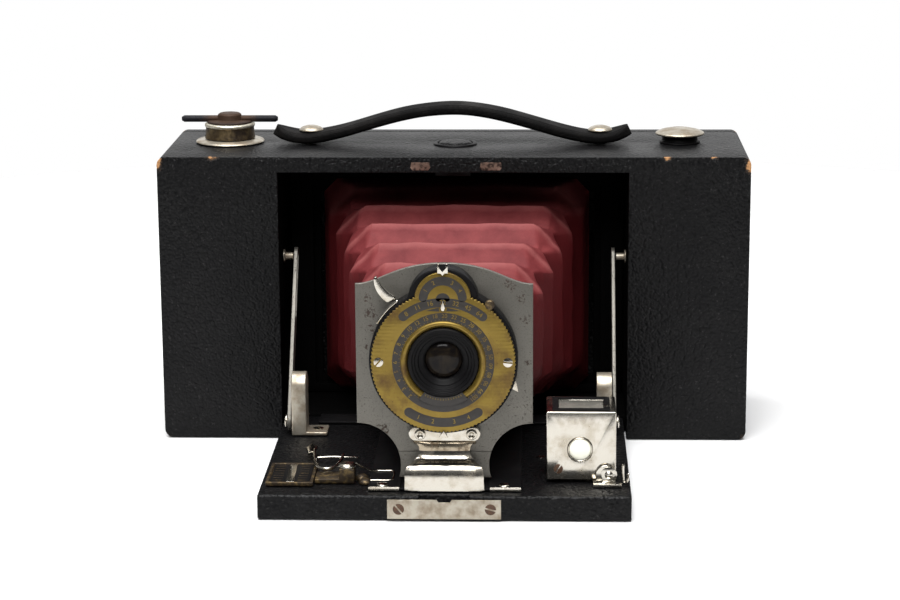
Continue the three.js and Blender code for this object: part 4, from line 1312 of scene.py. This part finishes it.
# ------------------------------------------------------------------ finder
def make_finder():
    refine("finder_body", 0.35, segments=3)
    refine("finder_mirror", 0.1)
    low, high = box_mm("finder_body")
    front = low.y
    lens = middle("finder_lens")
    turned("finder_lens_disc", [(0, -0.6), (2.9, -0.6), (2.95, 0.1), (2.3, 0.35), (0, 0.6)],
           (lens.x, front, lens.z), "milk_glass", "finder", FORWARD, ["finder_lens"], 0.3)
    turned("finder_lens_rim", [(2.95, -0.4), (3.25, -0.4), (3.3, 0.12), (3.1, 0.22), (2.95, 0.1)],
           (lens.x, front, lens.z), "nickel", "finder", FORWARD, fillet=0.06)
    refine("finder_window", 0.15, "window_glass")
    centre = middle("finder_window")
    hood, hole = [rectangle(low.x + inset, low.y + inset, high.x - inset, high.y - inset)
                  for inset in (1.6, 3.2)]
    sheet_metal("finder_top_frame", [hood, hole], high.z - 0.05, high.z + 0.25, "black_paint", "finder",
                edge=0.08)
    screw("finder_top_screw", (high.x - 2.3, centre.y - 2.5, high.z + 0.2), 0.9, "finder", UPRIGHT)
    screw("finder_front_screw", (30.2, front - 0.02, 10.8), 1.25, "finder", material="rust", slot_angle=-35)
    refine("finder_bracket", 0.15)
    pivot = (43.7, front - 0.25, 9.6)
    disc = arc(-0.9, 0, 2.55, 0, 180, 32) + [(-3.45, -1.8), (1.65, -1.8)]
    sheet_metal("finder_pivot_plate", [disc], 0.25, 1.0, "nickel", "bed", FORWARD, pivot, 0.15)
    turned("finder_pivot_rivet", [(0, 1.0), (1.15, 1.0), (1.1, 1.4), (0.5, 1.75), (0, 1.8)], pivot,
           "nickel", "bed", FORWARD, fillet=0.15, segments=32)
    wire("finder_spring", [
        (47.5, front - 1.2, 12.6), (47.5, front - 1.3, 10.2), (47.7, front - 1.5, 7.9),
        (48.2, front - 2.0, 7.6), (48.7, front - 2.2, 8.6), (48.9, front - 1.8, 10.3)],
        0.32, "nickel", "bed")


# ------------------------------------------------------------------ inside the case
def make_inside():
    for side in ("left", "right"):
        refine(f"spool_pin_{side}", 0.15)
        refine(f"film_roller_{side}", 0.15)
    for node in ("takeup_spool", "feed_spool"):
        refine(node, 0.2)


# ------------------------------------------------------------------ studio
def make_studio():
    bpy.ops.mesh.primitive_circle_add(vertices=256, radius=0.46, fill_type="NGON", location=(0, 0, -0.0002))
    floor = bpy.context.object
    floor.name = "floor"
    floor.data.materials.append(MATERIALS["paper"])

    world = bpy.data.worlds.new("studio")
    bpy.context.scene.world = world
    world.use_nodes = True
    sky = Nodes(world.node_tree)
    direction = sky.add("SeparateXYZ")
    sky.feed(direction.inputs[0], sky.add("TexCoord").outputs["Generated"])
    from_above = sky.spread(direction.outputs["Z"], 0.15, 0.95, 0.0, 0.42)
    from_behind = sky.spread(direction.outputs["Y"], 0.1, 0.9, 0.0, 0.28)
    room = sky.math("ADD", sky.math("ADD", from_above, from_behind), 0.03)
    seen = sky.mix(sky.add("LightPath").outputs["Is Camera Ray"], room, (1.0, 1.0, 1.0))
    sky.feed(sky.tree.nodes["Background"].inputs[0], seen)

    def soft_light(name, place_mm, target_mm, size, power):
        data = bpy.data.lights.new(name, "AREA")
        data.shape = "RECTANGLE"
        data.size, data.size_y = size
        data.energy = power
        light = object_of(name, data)
        aim = (Vector(target_mm) - Vector(place_mm)).to_track_quat("-Z", "Y")
        light.matrix_world = Matrix.Translation(Vector(place_mm) * MM) @ aim.to_matrix().to_4x4()

    soft_light("top_light", (-60, -210, 1100), (0, -60, 20), (1.1, 0.8), 25)
    soft_light("front_light", (-120, -950, 900), (0, -60, 40), (0.7, 0.5), 11)
    soft_light("back_light", (0, 900, 420), (0, 0, 60), (1.4, 0.6), 2)
    bpy.context.scene.view_settings.view_transform = "Standard"


make_camera()
make_case()
make_top()
make_back()
make_handle()
make_bellows()
make_plate()
make_shutter()
make_dial()
make_foot()
make_bed()
make_focus()
make_finder()
make_inside()
make_studio()
